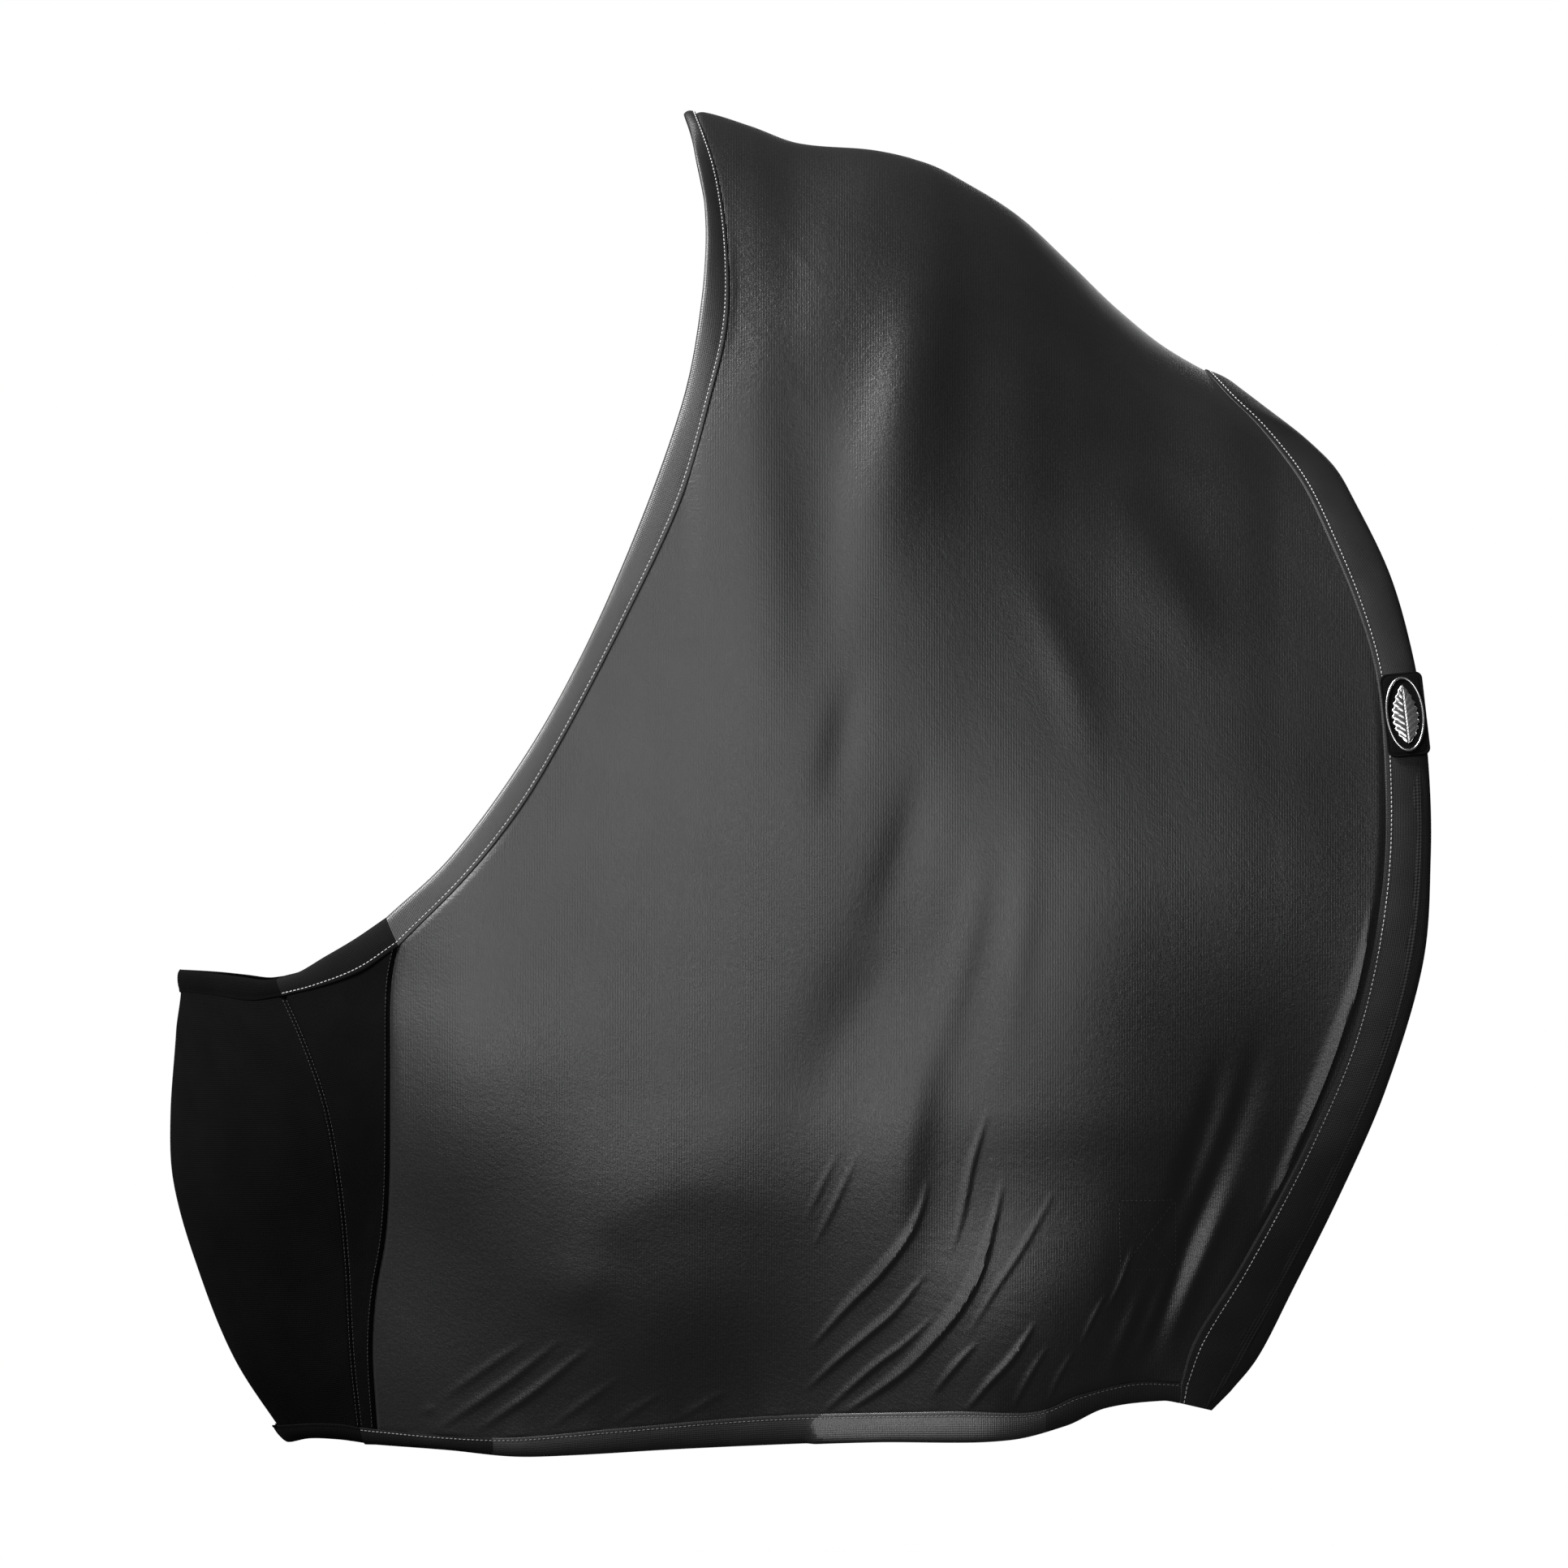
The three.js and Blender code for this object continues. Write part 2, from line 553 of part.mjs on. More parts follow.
function girthTab() {
  const top = [patchFace(TAB_TOP) + TAB_T / 2, TAB_TOP];
  const join = [ringY - loopR, RING_Z + 6];
  const inner = ringY - loopR + TAB_T;
  const back = [[inner + PLY_GAP + 1.2, RING_Z + 6.5], [inner + 1.0, RING_Z + 16]];
  return ribbon([top, join, ...arc(ringY, RING_Z, loopR, 180, 375, 10), ...back], TAB_T, TAB_W);
}
add('near_girth_tab', girthTab(), WEBBING());

// Wire bent to a closed line
function wireLoop(points, radius, steps) {
  const line = new THREE.CatmullRomCurve3(points, true, 'centripetal');
  return new THREE.TubeGeometry(line, steps, radius, 7, true);
}

function dRing() {
  const y = (v) => ringY + v;
  const half = [[0, 0], [7, 0], [RING_W - 3, 0], [RING_W, 2.5], [RING_W, 10], [RING_W - 4.5, RING_L - 6],
    [6, RING_L]];
  const points = [...half.map(([x, v]) => new THREE.Vector3(STRAP_X + x, y(v), RING_Z)),
    ...half.slice(1).reverse().map(([x, v]) => new THREE.Vector3(STRAP_X - x, y(v), RING_Z))];
  return wireLoop(points, RING_WIRE, 32);
}
add('d_ring', dRing(), STEEL());

// Turned piece on the snap's axis from [along, radius] points
function turned(profile, segments = 20) {
  const geometry = new THREE.LatheGeometry(profile.map(([a, r]) => new THREE.Vector2(r, along(a))), segments);
  return geometry.translate(STRAP_X, 0, SNAP_Z);
}

function rod(line, radius, steps) {
  const section = new THREE.Shape().absarc(0, 0, radius, 0, 2 * Math.PI);
  return new THREE.ExtrudeGeometry(section, {
    extrudePath: line, steps, curveSegments: 5, bevelEnabled: false,
  });
}

function snapBody() {
  const round = 1;
  const barrel = turned([[BARREL_FROM, 0], [BARREL_FROM, BARREL_R - round], [BARREL_FROM + round, BARREL_R],
    [BARREL_TO - round, BARREL_R], [BARREL_TO, BARREL_R - round], [BARREL_TO, 0]]);
  const bend = arc(-3, HOOK_BEND, HOOK_BEND, 270, 90, 8);
  const arm = [[8, 2 * HOOK_BEND], [19, 2 * HOOK_BEND - 1], [27, 13], [30, 6.5]];
  const points = [...bend, ...arm].map(([a, h]) => new THREE.Vector3(STRAP_X, along(a), SNAP_Z + h));
  const hook = rod(new THREE.CatmullRomCurve3(points, false, 'centripetal'), HOOK_WIRE, 26);
  const bore = turned([[BARREL_FROM - 2, 0], [BARREL_FROM - 2, BORE_R], [BORE_TO, BORE_R], [BORE_TO, 0]], 16);
  const postHole = turned([[BORE_TO - 1, 0], [BORE_TO - 1, POST_HOLE_R], [BARREL_TO + 2, POST_HOLE_R],
    [BARREL_TO + 2, 0]], 16);
  const slot = new THREE.BoxGeometry(4, BOLT_TRAVEL + 8, BARREL_R + 2)
    .translate(STRAP_X, along(28), SNAP_Z - (BARREL_R + 2) / 2);
  return geometryOf(solid(barrel).add(solid(hook)).subtract(solid(bore)).subtract(solid(postHole))
    .subtract(solid(slot)));
}
add('snap_body', snapBody(), STEEL());

// Sliding bolt that closes the hook, with the knob that the thumb pulls
function snapBolt() {
  const pin = turned([[-2.3, 0], [-2.3, BOLT_R - 0.6], [-1.7, BOLT_R], [BOLT_TO, BOLT_R], [BOLT_TO, 0]], 14);
  const knob = new THREE.LatheGeometry([[0, -12], [2.6, -12], [3.2, -11], [3.2, -9.4], [1.5, -8.2], [1.5, -1],
    [0, -1]].map(([r, h]) => new THREE.Vector2(r, h)), 14);
  knob.rotateX(Math.PI / 2).translate(STRAP_X, along(24), SNAP_Z);
  return geometryOf(solid(pin).add(solid(knob)));
}
add('snap_bolt', snapBolt(), STEEL());

function boltSpring() {
  const [from, to] = [BOLT_TO + 0.9, BORE_TO - 2.8];
  const [turns, radius, wire] = [5, 1.9, 0.35];
  class Coil extends THREE.Curve {
    getPoint(t, target = new THREE.Vector3()) {
      const a = t * turns * 2 * Math.PI;
      const y = along(from + (to - from) * t);
      return target.set(STRAP_X + radius * Math.cos(a), y, SNAP_Z + radius * Math.sin(a));
    }
  }
  const section = new THREE.Shape().absarc(0, 0, wire, 0, 2 * Math.PI);
  return new THREE.ExtrudeGeometry(section, {
    extrudePath: new Coil(), steps: turns * 10, curveSegments: 2, bevelEnabled: false,
  });
}
add('bolt_spring', boltSpring(), STEEL());

// Swivel eye: a bar frame for the strap on a post that turns in the end of the barrel
function swivelEye() {
  const x = STRAP_W / 2 + EYE_WIRE + 0.8;
  const [from, to] = [along(EYE_FROM), along(EYE_TO)];
  const corner = 2.5;
  const half = [[x - corner, from], [x, from + corner], [x, to - corner], [x - corner, to], [8, to]];
  const points = [...half.map(([dx, y]) => new THREE.Vector3(STRAP_X + dx, y, SNAP_Z)),
    ...half.slice().reverse().map(([dx, y]) => new THREE.Vector3(STRAP_X - dx, y, SNAP_Z))];
  const frame = wireLoop(points, EYE_WIRE, 32);
  const post = turned([[42.4, 0], [42.4, 2.3], [43.6, 2.3], [43.6, POST_R], [BARREL_TO + 0.4, POST_R],
    [BARREL_TO + 0.4, 4.6], [51.5, 4.6], [EYE_FROM, 2.6], [EYE_FROM, 0]], 16);
  return geometryOf(solid(frame).add(solid(post)));
}
add('swivel_eye', swivelEye(), STEEL());

const strapLoopR = EYE_WIRE + PLY_GAP + STRAP_T / 2;

function girthStrap() {
  const eye = [along(EYE_TO), SNAP_Z];
  const farFace = (z) => -patchFace(z) - STRAP_T / 2;
  const bendR = 9;
  const turn = arc(farFace(SNAP_Z + 14) - bendR, SNAP_Z + strapLoopR + bendR, bendR, 0, -90, 5);
  const points = [[farFace(TAB_TOP), TAB_TOP], [farFace(SNAP_Z + 30), SNAP_Z + 30], ...turn,
    [0, SNAP_Z + strapLoopR], ...arc(...eye, strapLoopR, 90, 270, 10),
    [eye[0] + TAIL_L / 2, SNAP_Z - strapLoopR], [eye[0] + TAIL_L, SNAP_Z - strapLoopR]];
  return ribbon(points, STRAP_T, STRAP_W);
}
add('girth_strap', girthStrap(), ELASTIC());

// Slide with two slots, one for each layer of the strap
function adjusterSlide() {
  const [halfW, halfH, corner] = [STRAP_W / 2 + 4, 7.6, 3];
  const body = new THREE.Shape();
  body.moveTo(-halfW + corner, -halfH).lineTo(halfW - corner, -halfH)
    .absarc(halfW - corner, -halfH + corner, corner, -Math.PI / 2, 0)
    .absarc(halfW - corner, halfH - corner, corner, 0, Math.PI / 2)
    .absarc(-halfW + corner, halfH - corner, corner, Math.PI / 2, Math.PI)
    .absarc(-halfW + corner, -halfH + corner, corner, Math.PI, 1.5 * Math.PI);
  const slotHalf = STRAP_T / 2 + 0.5;
  for (const h of [strapLoopR, -strapLoopR]) {
    const w = STRAP_W / 2 + 0.8;
    const slot = new THREE.Path();
    slot.moveTo(-w, h - slotHalf).lineTo(w, h - slotHalf).lineTo(w, h + slotHalf).lineTo(-w, h + slotHalf)
      .lineTo(-w, h - slotHalf);
    body.holes.push(slot);
  }
  const geometry = new THREE.ExtrudeGeometry(body, { depth: SLIDE_L, curveSegments: 4, bevelEnabled: false });
  return geometry.rotateX(Math.PI / 2).translate(STRAP_X, along(SLIDE_AT) + SLIDE_L / 2, SNAP_Z);
}
add('adjuster_slide', adjusterSlide(), PLASTIC());

// ----------------------------------------------------------------------------------------------- the badge

// Patch with an oval rim and a leaf on it, laid on the near rear casing in the casing's own plane
function badge() {
  const edge = curves.backEdge;
  const stitch = curves.backStitch;
  const middle = (t) => across({
    stitch: surface(stitch.getPointAt(t)), edge: surface(edge.getPointAt(t)),
  }, 0.5);
  const centre = middle(BADGE_AT);
  const up = middle(BADGE_AT - 0.02).p.sub(middle(BADGE_AT + 0.02).p).normalize();
  const out = centre.n.clone().addScaledVector(up, -centre.n.dot(up)).normalize();
  const side = up.clone().cross(out);
  const place = new THREE.Matrix4().makeBasis(side, up, out);
  const standOff = PLY_GAP + PLY_T + 0.9;
  place.setPosition(centre.p.clone().addScaledVector(out, standOff));
  const oval = (w, h) => new THREE.Shape().absellipse(0, 0, w, h, 0, 2 * Math.PI);
  const plate = (shape, from, depth, segments = 14) => new THREE.ExtrudeGeometry(shape,
    { depth, curveSegments: segments, bevelEnabled: false }).translate(0, 0, from).applyMatrix4(place);
  const rim = oval(RIM_HALF_W, RIM_HALF_H);
  rim.holes.push(new THREE.Path().absellipse(0, 0, RIM_HALF_W - RIM_W, RIM_HALF_H - RIM_W, 0, 2 * Math.PI));
  const [w, h] = [BADGE_HALF_W - BADGE_CORNER, BADGE_HALF_H - BADGE_CORNER];
  const patch = new THREE.Shape();
  patch.absarc(w, h, BADGE_CORNER, 0, Math.PI / 2).absarc(-w, h, BADGE_CORNER, Math.PI / 2, Math.PI)
    .absarc(-w, -h, BADGE_CORNER, Math.PI, 1.5 * Math.PI)
    .absarc(w, -h, BADGE_CORNER, 1.5 * Math.PI, 2 * Math.PI);
  add('badge_patch', plate(patch, 0, 0.8, 4), PLASTIC());
  add('badge_rim', plate(rim, 1.1, 1.2), STEEL());
  const leaf = new THREE.Shape();
  leaf.moveTo(0, -20).quadraticCurveTo(13, 0, 0, 20).quadraticCurveTo(-13, 0, 0, -20);
  add('badge_emblem', plate(leaf, 1.1, 1.0, 8), STEEL());
}
badge();

export default part;
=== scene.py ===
"""Looks of a horse's shoulder guard, a bib of black stretch satin with a girth strap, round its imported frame.

The shapes are worked out in millimetres in the frame's axes (X to the tail, -Y the near side, Z up, origin on
the withers) and written to the meshes in metres. The near half is made first and the off half mirrors it.
"""
import itertools
import math

import bpy
import numpy as np
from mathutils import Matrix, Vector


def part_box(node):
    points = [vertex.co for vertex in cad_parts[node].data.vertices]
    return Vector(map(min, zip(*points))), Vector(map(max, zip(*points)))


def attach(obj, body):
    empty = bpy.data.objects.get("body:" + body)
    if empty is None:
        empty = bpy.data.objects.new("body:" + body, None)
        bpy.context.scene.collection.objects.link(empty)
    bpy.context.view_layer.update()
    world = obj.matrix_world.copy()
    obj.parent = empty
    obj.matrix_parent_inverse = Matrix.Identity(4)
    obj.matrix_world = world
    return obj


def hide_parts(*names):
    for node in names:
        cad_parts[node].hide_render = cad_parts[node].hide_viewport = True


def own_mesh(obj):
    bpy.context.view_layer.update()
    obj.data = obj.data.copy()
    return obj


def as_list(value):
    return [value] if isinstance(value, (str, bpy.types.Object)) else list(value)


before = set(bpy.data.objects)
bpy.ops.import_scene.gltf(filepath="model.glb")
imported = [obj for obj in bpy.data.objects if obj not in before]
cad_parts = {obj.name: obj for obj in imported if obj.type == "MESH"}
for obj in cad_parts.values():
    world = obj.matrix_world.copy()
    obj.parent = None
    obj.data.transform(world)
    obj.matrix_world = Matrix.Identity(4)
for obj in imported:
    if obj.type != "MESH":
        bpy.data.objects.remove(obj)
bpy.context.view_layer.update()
MM = 0.001

# --------------------------------------------------------------- driving dimensions, the same as the CAD's
PATCH_DROP = 3.4
PLY_T = 1.2
PLY_GAP = 0.7
STRAP_X = 130
SNAP_Z = -779
STRAP_W = 38
TAB_W = 26
TAB_T = 1.6
RING_WIRE = 2.2
RING_W = 17
RING_L = 30
HOOK_BEND = 9.25
HOOK_SLACK = 3.5
EYE_TO = 66
EYE_WIRE = 2.2
TAIL_L = 110
SPRING_AT = 30.9
SPRING_L = 10.3
BADGE_AT = 0.356  # share of the rear edge, from the spine
BADGE_HALF = (14.8, 30)
RIM_HALF = (13.6, 27)
HALF_WIDTH = 208  # of the horse, at the point of the shoulder
BESIDE_MIDDLE = -0.3  # Y where the near half ends, next to the middle plane
CLOTH_T = 1.3
SIDES = {"near": -1, "off": 1}
CAMERA_AT = (-0.122, -16, -0.4264)
VIEW_WIDTH = 1.10124  # what the camera sees across the horse's middle plane, m
GUSSET_TOP = (23 / 30) ** 1.6  # share of the panel's height where the gusset starts

RIDGE = [
    [-420, 190], [-300, 112], [-192, 45], [-178, 46], [-145, 36], [-112, 24], [-58, 19], [-21, 10], [0, 0],
    [42, -26], [79, -60], [110, -90], [146, -119], [196, -147], [225, -163], [280, -180], [340, -190],
]
FRONT = [
    [-888, -470], [-830, -508], [-760, -536], [-705, -551], [-660, -553], [-600, -549], [-557, -547],
    [-450, -590], [-250, -720], [50, -900],
]
MUSCLES = [
    [-300, -430, 130, 150, 10], [-390, -640, 90, 90, 8], [60, -620, 130, 160, 8], [-185, -925, 125, 115, -22],
    [240, -810, 125, 210, -20], [25, -840, 95, 90, 30], [265, -720, 85, 130, -20], [310, -400, 90, 200, -14],
    [-120, -60, 70, 90, 18], [60, -60, 70, 70, -16], [-430, -730, 70, 120, -18], [-220, -800, 90, 90, 12],
]
OUTLINES = {
    "neckEdge": [[-192, 45], [-184.5, 17], [-177.5, -24], [-176.5, -60], [-182.5, -118], [-193.5, -163],
                 [-226.5, -254], [-267, -344], [-306, -412], [-356, -479], [-399, -519]],
    "neckStitch": [[-185, 45.3], [-179, 29], [-170.5, 1], [-163.5, -47], [-163.5, -105], [-175.5, -159],
                   [-194.5, -225], [-231, -305], [-279, -397], [-307, -443], [-344, -490], [-391, -537]],
    "gussetNeckEdge": [[-399, -519], [-421, -534], [-443, -547], [-462, -558], [-476, -562]],
    "gussetNeckStitch": [[-391, -537], [-418, -555], [-449, -567], [-472, -573]],
    "chestNeckEdge": [[-547, -557], [-520, -559], [-502, -561], [-486, -563], [-476, -562]],
    "chestNeckStitch": [[-546, -571], [-520, -573], [-493, -576], [-472, -573]],
    "gussetSeam": [[-391, -537], [-396, -564], [-397, -632], [-398, -707], [-401, -745], [-407, -779],
                   [-410, -819], [-407, -878]],
    "chestSeam": [[-472, -573], [-458, -604], [-442, -649], [-432, -703], [-427, -753], [-423, -827],
                  [-418, -877]],
    "backEdge": [[196, -147], [224, -168], [246, -186], [264, -205], [277, -229], [300, -279], [314, -329],
                 [323, -381], [327, -433], [327, -479], [322, -547], [296, -637], [265, -711], [233, -777],
                 [207, -827], [189, -849]],
    "backStitch": [[176, -137], [192, -155], [213, -176], [241, -213], [261, -255], [280, -303], [293, -351],
                   [299, -428], [296, -502], [277, -597], [242, -682], [199, -763], [167, -816], [157, -844]],
    "bottomEdge": [[-407, -888], [-356, -891], [-311, -895], [-272, -894], [-190, -889], [-60, -883],
                   [35, -881], [74, -872], [101, -860], [141, -855], [155, -857]],
    "bottomStitch": [[-407, -878], [-356, -882], [-311, -883], [-242, -877], [-134, -868], [-5, -864],
                     [55, -863], [83, -852], [122, -843], [157, -844]],
    "chestBottomEdge": [[-470, -889], [-455, -885], [-433, -885], [-415, -887]],
    "chestBottomStitch": [[-480, -878], [-454, -875], [-432, -875], [-418, -877]],
}
BACK_CORNER = {"stitch": (155, -857), "edge": (176, -862)}

# How the stretched satin lies, seen from the side: ridges (or valleys, where the rise is negative) along a
# line of [X, Z] points, with the width on the forward side, the width on the rear side, and the rise.
SOFT_RIDGES = [
    # swell below the withers and the trough ahead of it
    ([[-12, -5], [-27, -90], [-40, -170], [-52, -240], [-62, -330]], 26, 30, 7.0),
    ([[-115, -90], [-104, -180], [-98, -270], [-102, -350], [-112, -440]], 26, 26, -4.2),
    # two slanting swells high on the ribs, with a thin trough between them
    ([[84, -190], [114, -245], [150, -300], [168, -370]], 36, 24, 5.5),
    ([[36, -250], [60, -310], [80, -365], [98, -440]], 14, 16, 1.8),
    # streaks down the shoulder, forward to rear
    ([[-66, -320], [-78, -380], [-88, -430], [-94, -470]], 14, 14, -2.4),
    ([[-18, -380], [-30, -440], [-48, -500], [-72, -560]], 16, 18, -2.6),
    ([[10, -430], [-14, -490], [-44, -550], [-78, -610], [-98, -670], [-108, -730]], 34, 90, -5.5),
    ([[18, -440], [10, -510], [-6, -580], [-18, -640]], 12, 12, 1.8),
    ([[50, -420], [44, -500], [36, -580], [30, -650]], 12, 12, 1.6),
    ([[-14, -540], [-28, -620], [-40, -690], [-44, -760], [-40, -840]], 30, 18, 5.2),
    ([[118, -280], [122, -380], [104, -460], [82, -560], [82, -640], [84, -720], [74, -810]], 80, 80, 7.0),
    ([[215, -320], [222, -420], [220, -520], [200, -640]], 190, 75, 6.0),
    ([[92, -680], [86, -780], [62, -875]], 95, 42, 8.0),
    ([[-300, -430], [-322, -520], [-330, -600], [-334, -680], [-338, -760]], 48, 80, 4.5),
    ([[-138, 10], [-136, -60], [-138, -110], [-146, -170]], 24, 44, -2.2),
    # brow over the dark hollow in front of the elbow, and the small swell at its forward end
    ([[-330, -800], [-275, -748], [-232, -716], [-190, -700], [-140, -708], [-70, -740]], 30, 50, 3.0),
    ([[-285, -800], [-258, -772], [-232, -752]], 20, 22, 2.0),
    # long narrow folds that run down to the rear corner
    ([[212, -585], [196, -650], [172, -715], [140, -790], [118, -850]], 8, 9, -4.6),
    ([[186, -600], [172, -660], [154, -715], [132, -770]], 9, 9, -3.6),
    ([[236, -690], [214, -735], [190, -785], [164, -840]], 6, 6, -3.4),
    ([[196, -690], [170, -750], [150, -800], [138, -845]], 7, 7, 3.0),
    ([[158, -740], [138, -785], [118, -835]], 5, 5, 2.2),
    ([[134, -760], [114, -805], [98, -845]], 5, 5, 1.8),
]
# Sharp tension folds: line, width of the forward flank, width of the rear flank, rise
CRISP_FOLDS = [
    ([[-22, -700], [-27, -722], [-34, -739], [-53, -765], [-77, -789], [-104, -818]], 6.5, 2.0, 3.6),
    ([[-22, -764], [-45, -793], [-62, -808], [-81, -824], [-108, -848]], 5.0, 1.8, 3.0),
    ([[-18, -795], [-38, -815], [-60, -832], [-98, -866]], 4.2, 1.8, 2.6),
    ([[30, -700], [20, -746], [14, -767], [1, -791], [-17, -813], [-38, -834], [-84, -866]], 7.5, 2.1, 4.4),
    ([[20, -650], [9, -690], [2, -724], [-6, -752]], 5.0, 2.0, 2.2),
    ([[12, -813], [-4, -832], [-20, -851]], 4.2, 1.8, 2.4),
    ([[52, -798], [37, -824], [20, -843], [2, -863]], 5.0, 1.8, 3.0),
    ([[60, -815], [46, -841], [36, -860]], 3.6, 1.8, 1.8),
    ([[66, -706], [44, -747], [24, -778], [4, -810]], 3.4, 2.0, 1.6),
    ([[-70, -680], [-85, -715], [-102, -748]], 4.0, 2.0, 1.4),
    ([[-84, -680], [-96, -706], [-108, -730]], 3.4, 2.0, 1.0),
    ([[120, -745], [109, -774], [100, -790]], 3.2, 1.8, 1.6),
    ([[100, -778], [91, -796], [82, -815]], 3.2, 1.8, 1.4),
    ([[78, -818], [68, -838], [60, -856]], 3.2, 1.8, 1.2),
    ([[-255, -815], [-295, -849], [-338, -878]], 4.6, 1.8, 2.6),
    ([[-276, -811], [-313, -842], [-365, -877]], 4.6, 1.8, 2.4),
    ([[-236, -838], [-262, -858], [-285, -874]], 4.0, 1.8, 1.2),
    ([[-205, -848], [-226, -862], [-244, -873]], 3.4, 1.8, 0.9),
    ([[-160, -846], [-182, -860], [-200, -870]], 3.4, 1.8, 0.8),
    ([[-300, -812], [-330, -834], [-362, -856]], 4.0, 1.8, 1.6),
    ([[-365, -860], [-370, -863], [-374, -866]], 3.4, 1.8, 1.2),
    ([[286, -510], [278, -560], [262, -610], [244, -655], [222, -705], [205, -740]], 9.0, 2.6, 5.2),
    ([[-130, -35], [-110, -59], [-91, -83]], 3.0, 3.0, 0.5),
    ([[-161, -83], [-141, -114], [-122, -145]], 3.0, 3.0, 0.4),
    ([[-140, -100], [-118, -140], [-96, -185]], 3.0, 3.0, 0.4),
]


# --------------------------------------------------------------------------------- the horse's surface, mm
def ease(start, end, at):
    s = np.clip((at - start) / (end - start), 0, 1)
    return s * s * (3 - 2 * s)


def through(points, at):
    """Smooth curve through [at, value] points, straight beyond its ends."""
    x, v = np.array(points, float).T
    at = np.asarray(at, float)
    slope = np.empty_like(v)
    slope[1:-1] = (v[2:] - v[:-2]) / (x[2:] - x[:-2])
    slope[0], slope[-1] = (v[1] - v[0]) / (x[1] - x[0]), (v[-1] - v[-2]) / (x[-1] - x[-2])
    i = np.clip(np.searchsorted(x, at, side="right") - 1, 0, len(x) - 2)
    span = x[i + 1] - x[i]
    s = (at - x[i]) / span
    rise = s * s * (3 - 2 * s)
    inside = v[i] * (1 - rise) + v[i + 1] * rise
    inside = inside + span * (s * (1 - s) ** 2 * slope[i] - s * s * (1 - s) * slope[i + 1])
    low, high = v[0] + slope[0] * (at - x[0]), v[-1] + slope[-1] * (at - x[-1])
    return np.where(at <= x[0], low, np.where(at >= x[-1], high, inside))


def half_width(x, z):
    drop = np.maximum(0, through(RIDGE, x) - z)
    barrel = ease(0, 330, x)
    crown = 1 - np.exp(-np.sqrt(drop * (drop + 30 + 90 * barrel)) / (175 - 25 * barrel))
    neck = ease(-90, -310, x) * ease(-640, -330, z)
    full = HALF_WIDTH + 8 * barrel - 52 * neck
    tuck_under = 1 - 0.15 * ease(-650, -890, z)
    muscle = 1 + sum((rise / HALF_WIDTH) * np.exp(-(((x - cx) / rx) ** 2) - ((z - cz) / rz) ** 2)
                     for cx, cz, rx, rz, rise in MUSCLES)
    forward = np.clip((20 - x) / (20 - through(FRONT, z)), 0, 1)
    return full * crown * tuck_under * muscle * np.sqrt(np.maximum(0, 1 - forward ** 2.6))


def unit(v):
    return v / np.maximum(np.linalg.norm(v, axis=-1, keepdims=True), 1e-9)


def on_horse(xz, middle_y=BESIDE_MIDDLE):
    """Points of the near side and their outward normals, from [..., 2] places in the side view."""
    x, z = xz[..., 0], xz[..., 1]
    w = half_width(x, z)
    step = 0.5
    slope_x = (half_width(x + step, z) - half_width(x - step, z)) / (2 * step)
    slope_z = (half_width(x, z + step) - half_width(x, z - step)) / (2 * step)
    side = unit(np.stack([-slope_x, -np.ones_like(w), -slope_z], -1))
    step = 2
    up = np.stack([through(RIDGE, x - step) - through(RIDGE, x + step), 0 * x, 0 * x + 2 * step], -1)
    ahead = np.stack([0 * x - 2 * step, 0 * x, through(FRONT, z + step) - through(FRONT, z - step)], -1)
    middle = unit(np.where((z > -400)[..., None], up, ahead))
    on_side = (w > 1.5)[..., None]
    points = np.stack([x, np.where(w > 1.5, -w, middle_y), z], -1)
    return points, np.where(on_side, side, middle)


class Line:
    """Centripetal Catmull-Rom curve, read at shares of its length."""

    def __init__(self, points, per=24):
        p = np.array(points, float)
        p = np.vstack([2 * p[0] - p[1], p, 2 * p[-1] - p[-2]])
        out = []
        s = np.linspace(0, 1, per, endpoint=False)[:, None]
        for a, b, c, d in zip(p[:-3], p[1:-2], p[2:-1], p[3:]):
            d0, d1, d2 = (np.linalg.norm(m) ** 0.5 for m in (b - a, c - b, d - c))
            t1 = ((b - a) / d0 - (c - a) / (d0 + d1) + (c - b) / d1) * d1
            t2 = ((c - b) / d1 - (d - b) / (d1 + d2) + (d - c) / d2) * d1
            out.append(b + t1 * s + (-3 * b + 3 * c - 2 * t1 - t2) * s ** 2
                       + (2 * b - 2 * c + t1 + t2) * s ** 3)
        self.points = np.vstack(out + [p[-2][None]])
        self.run = np.concatenate([[0], np.cumsum(np.linalg.norm(np.diff(self.points, axis=0), axis=1))])
        self.length = self.run[-1]

    def __call__(self, share):
        at = np.clip(share, 0, 1) * self.length
        return np.stack([np.interp(at, self.run, column) for column in self.points.T], -1)


CURVES = {name: Line(points) for name, points in OUTLINES.items()}


def graded(count, weight):
    """count + 1 shares from 0 to 1, closer together where weight is high."""
    t = np.linspace(0, 1, 4001)
    w = weight(t)
    run = np.concatenate([[0], np.cumsum((w[1:] + w[:-1]) / 2)])
    return np.interp(np.linspace(0, 1, count + 1), run / run[-1], t)


def coons(left, right, top, bottom, s, u):
    """Four-sided patch between boundary points: left and right at the shares s, top and bottom at u."""
    s, u = s[:, None, None], u[None, :, None]
    l, r, t, b = left[:, None], right[:, None], top[None], bottom[None]
    return ((1 - s) * t + s * b + (1 - u) * l + u * r - (1 - u) * (1 - s) * top[0] - u * (1 - s) * top[-1]
            - (1 - u) * s * bottom[0] - u * s * bottom[-1])


# --------------------------------------------------------------------------------------------- mesh making
def flip_y(points):
    return points * np.array([1, -1, 1])


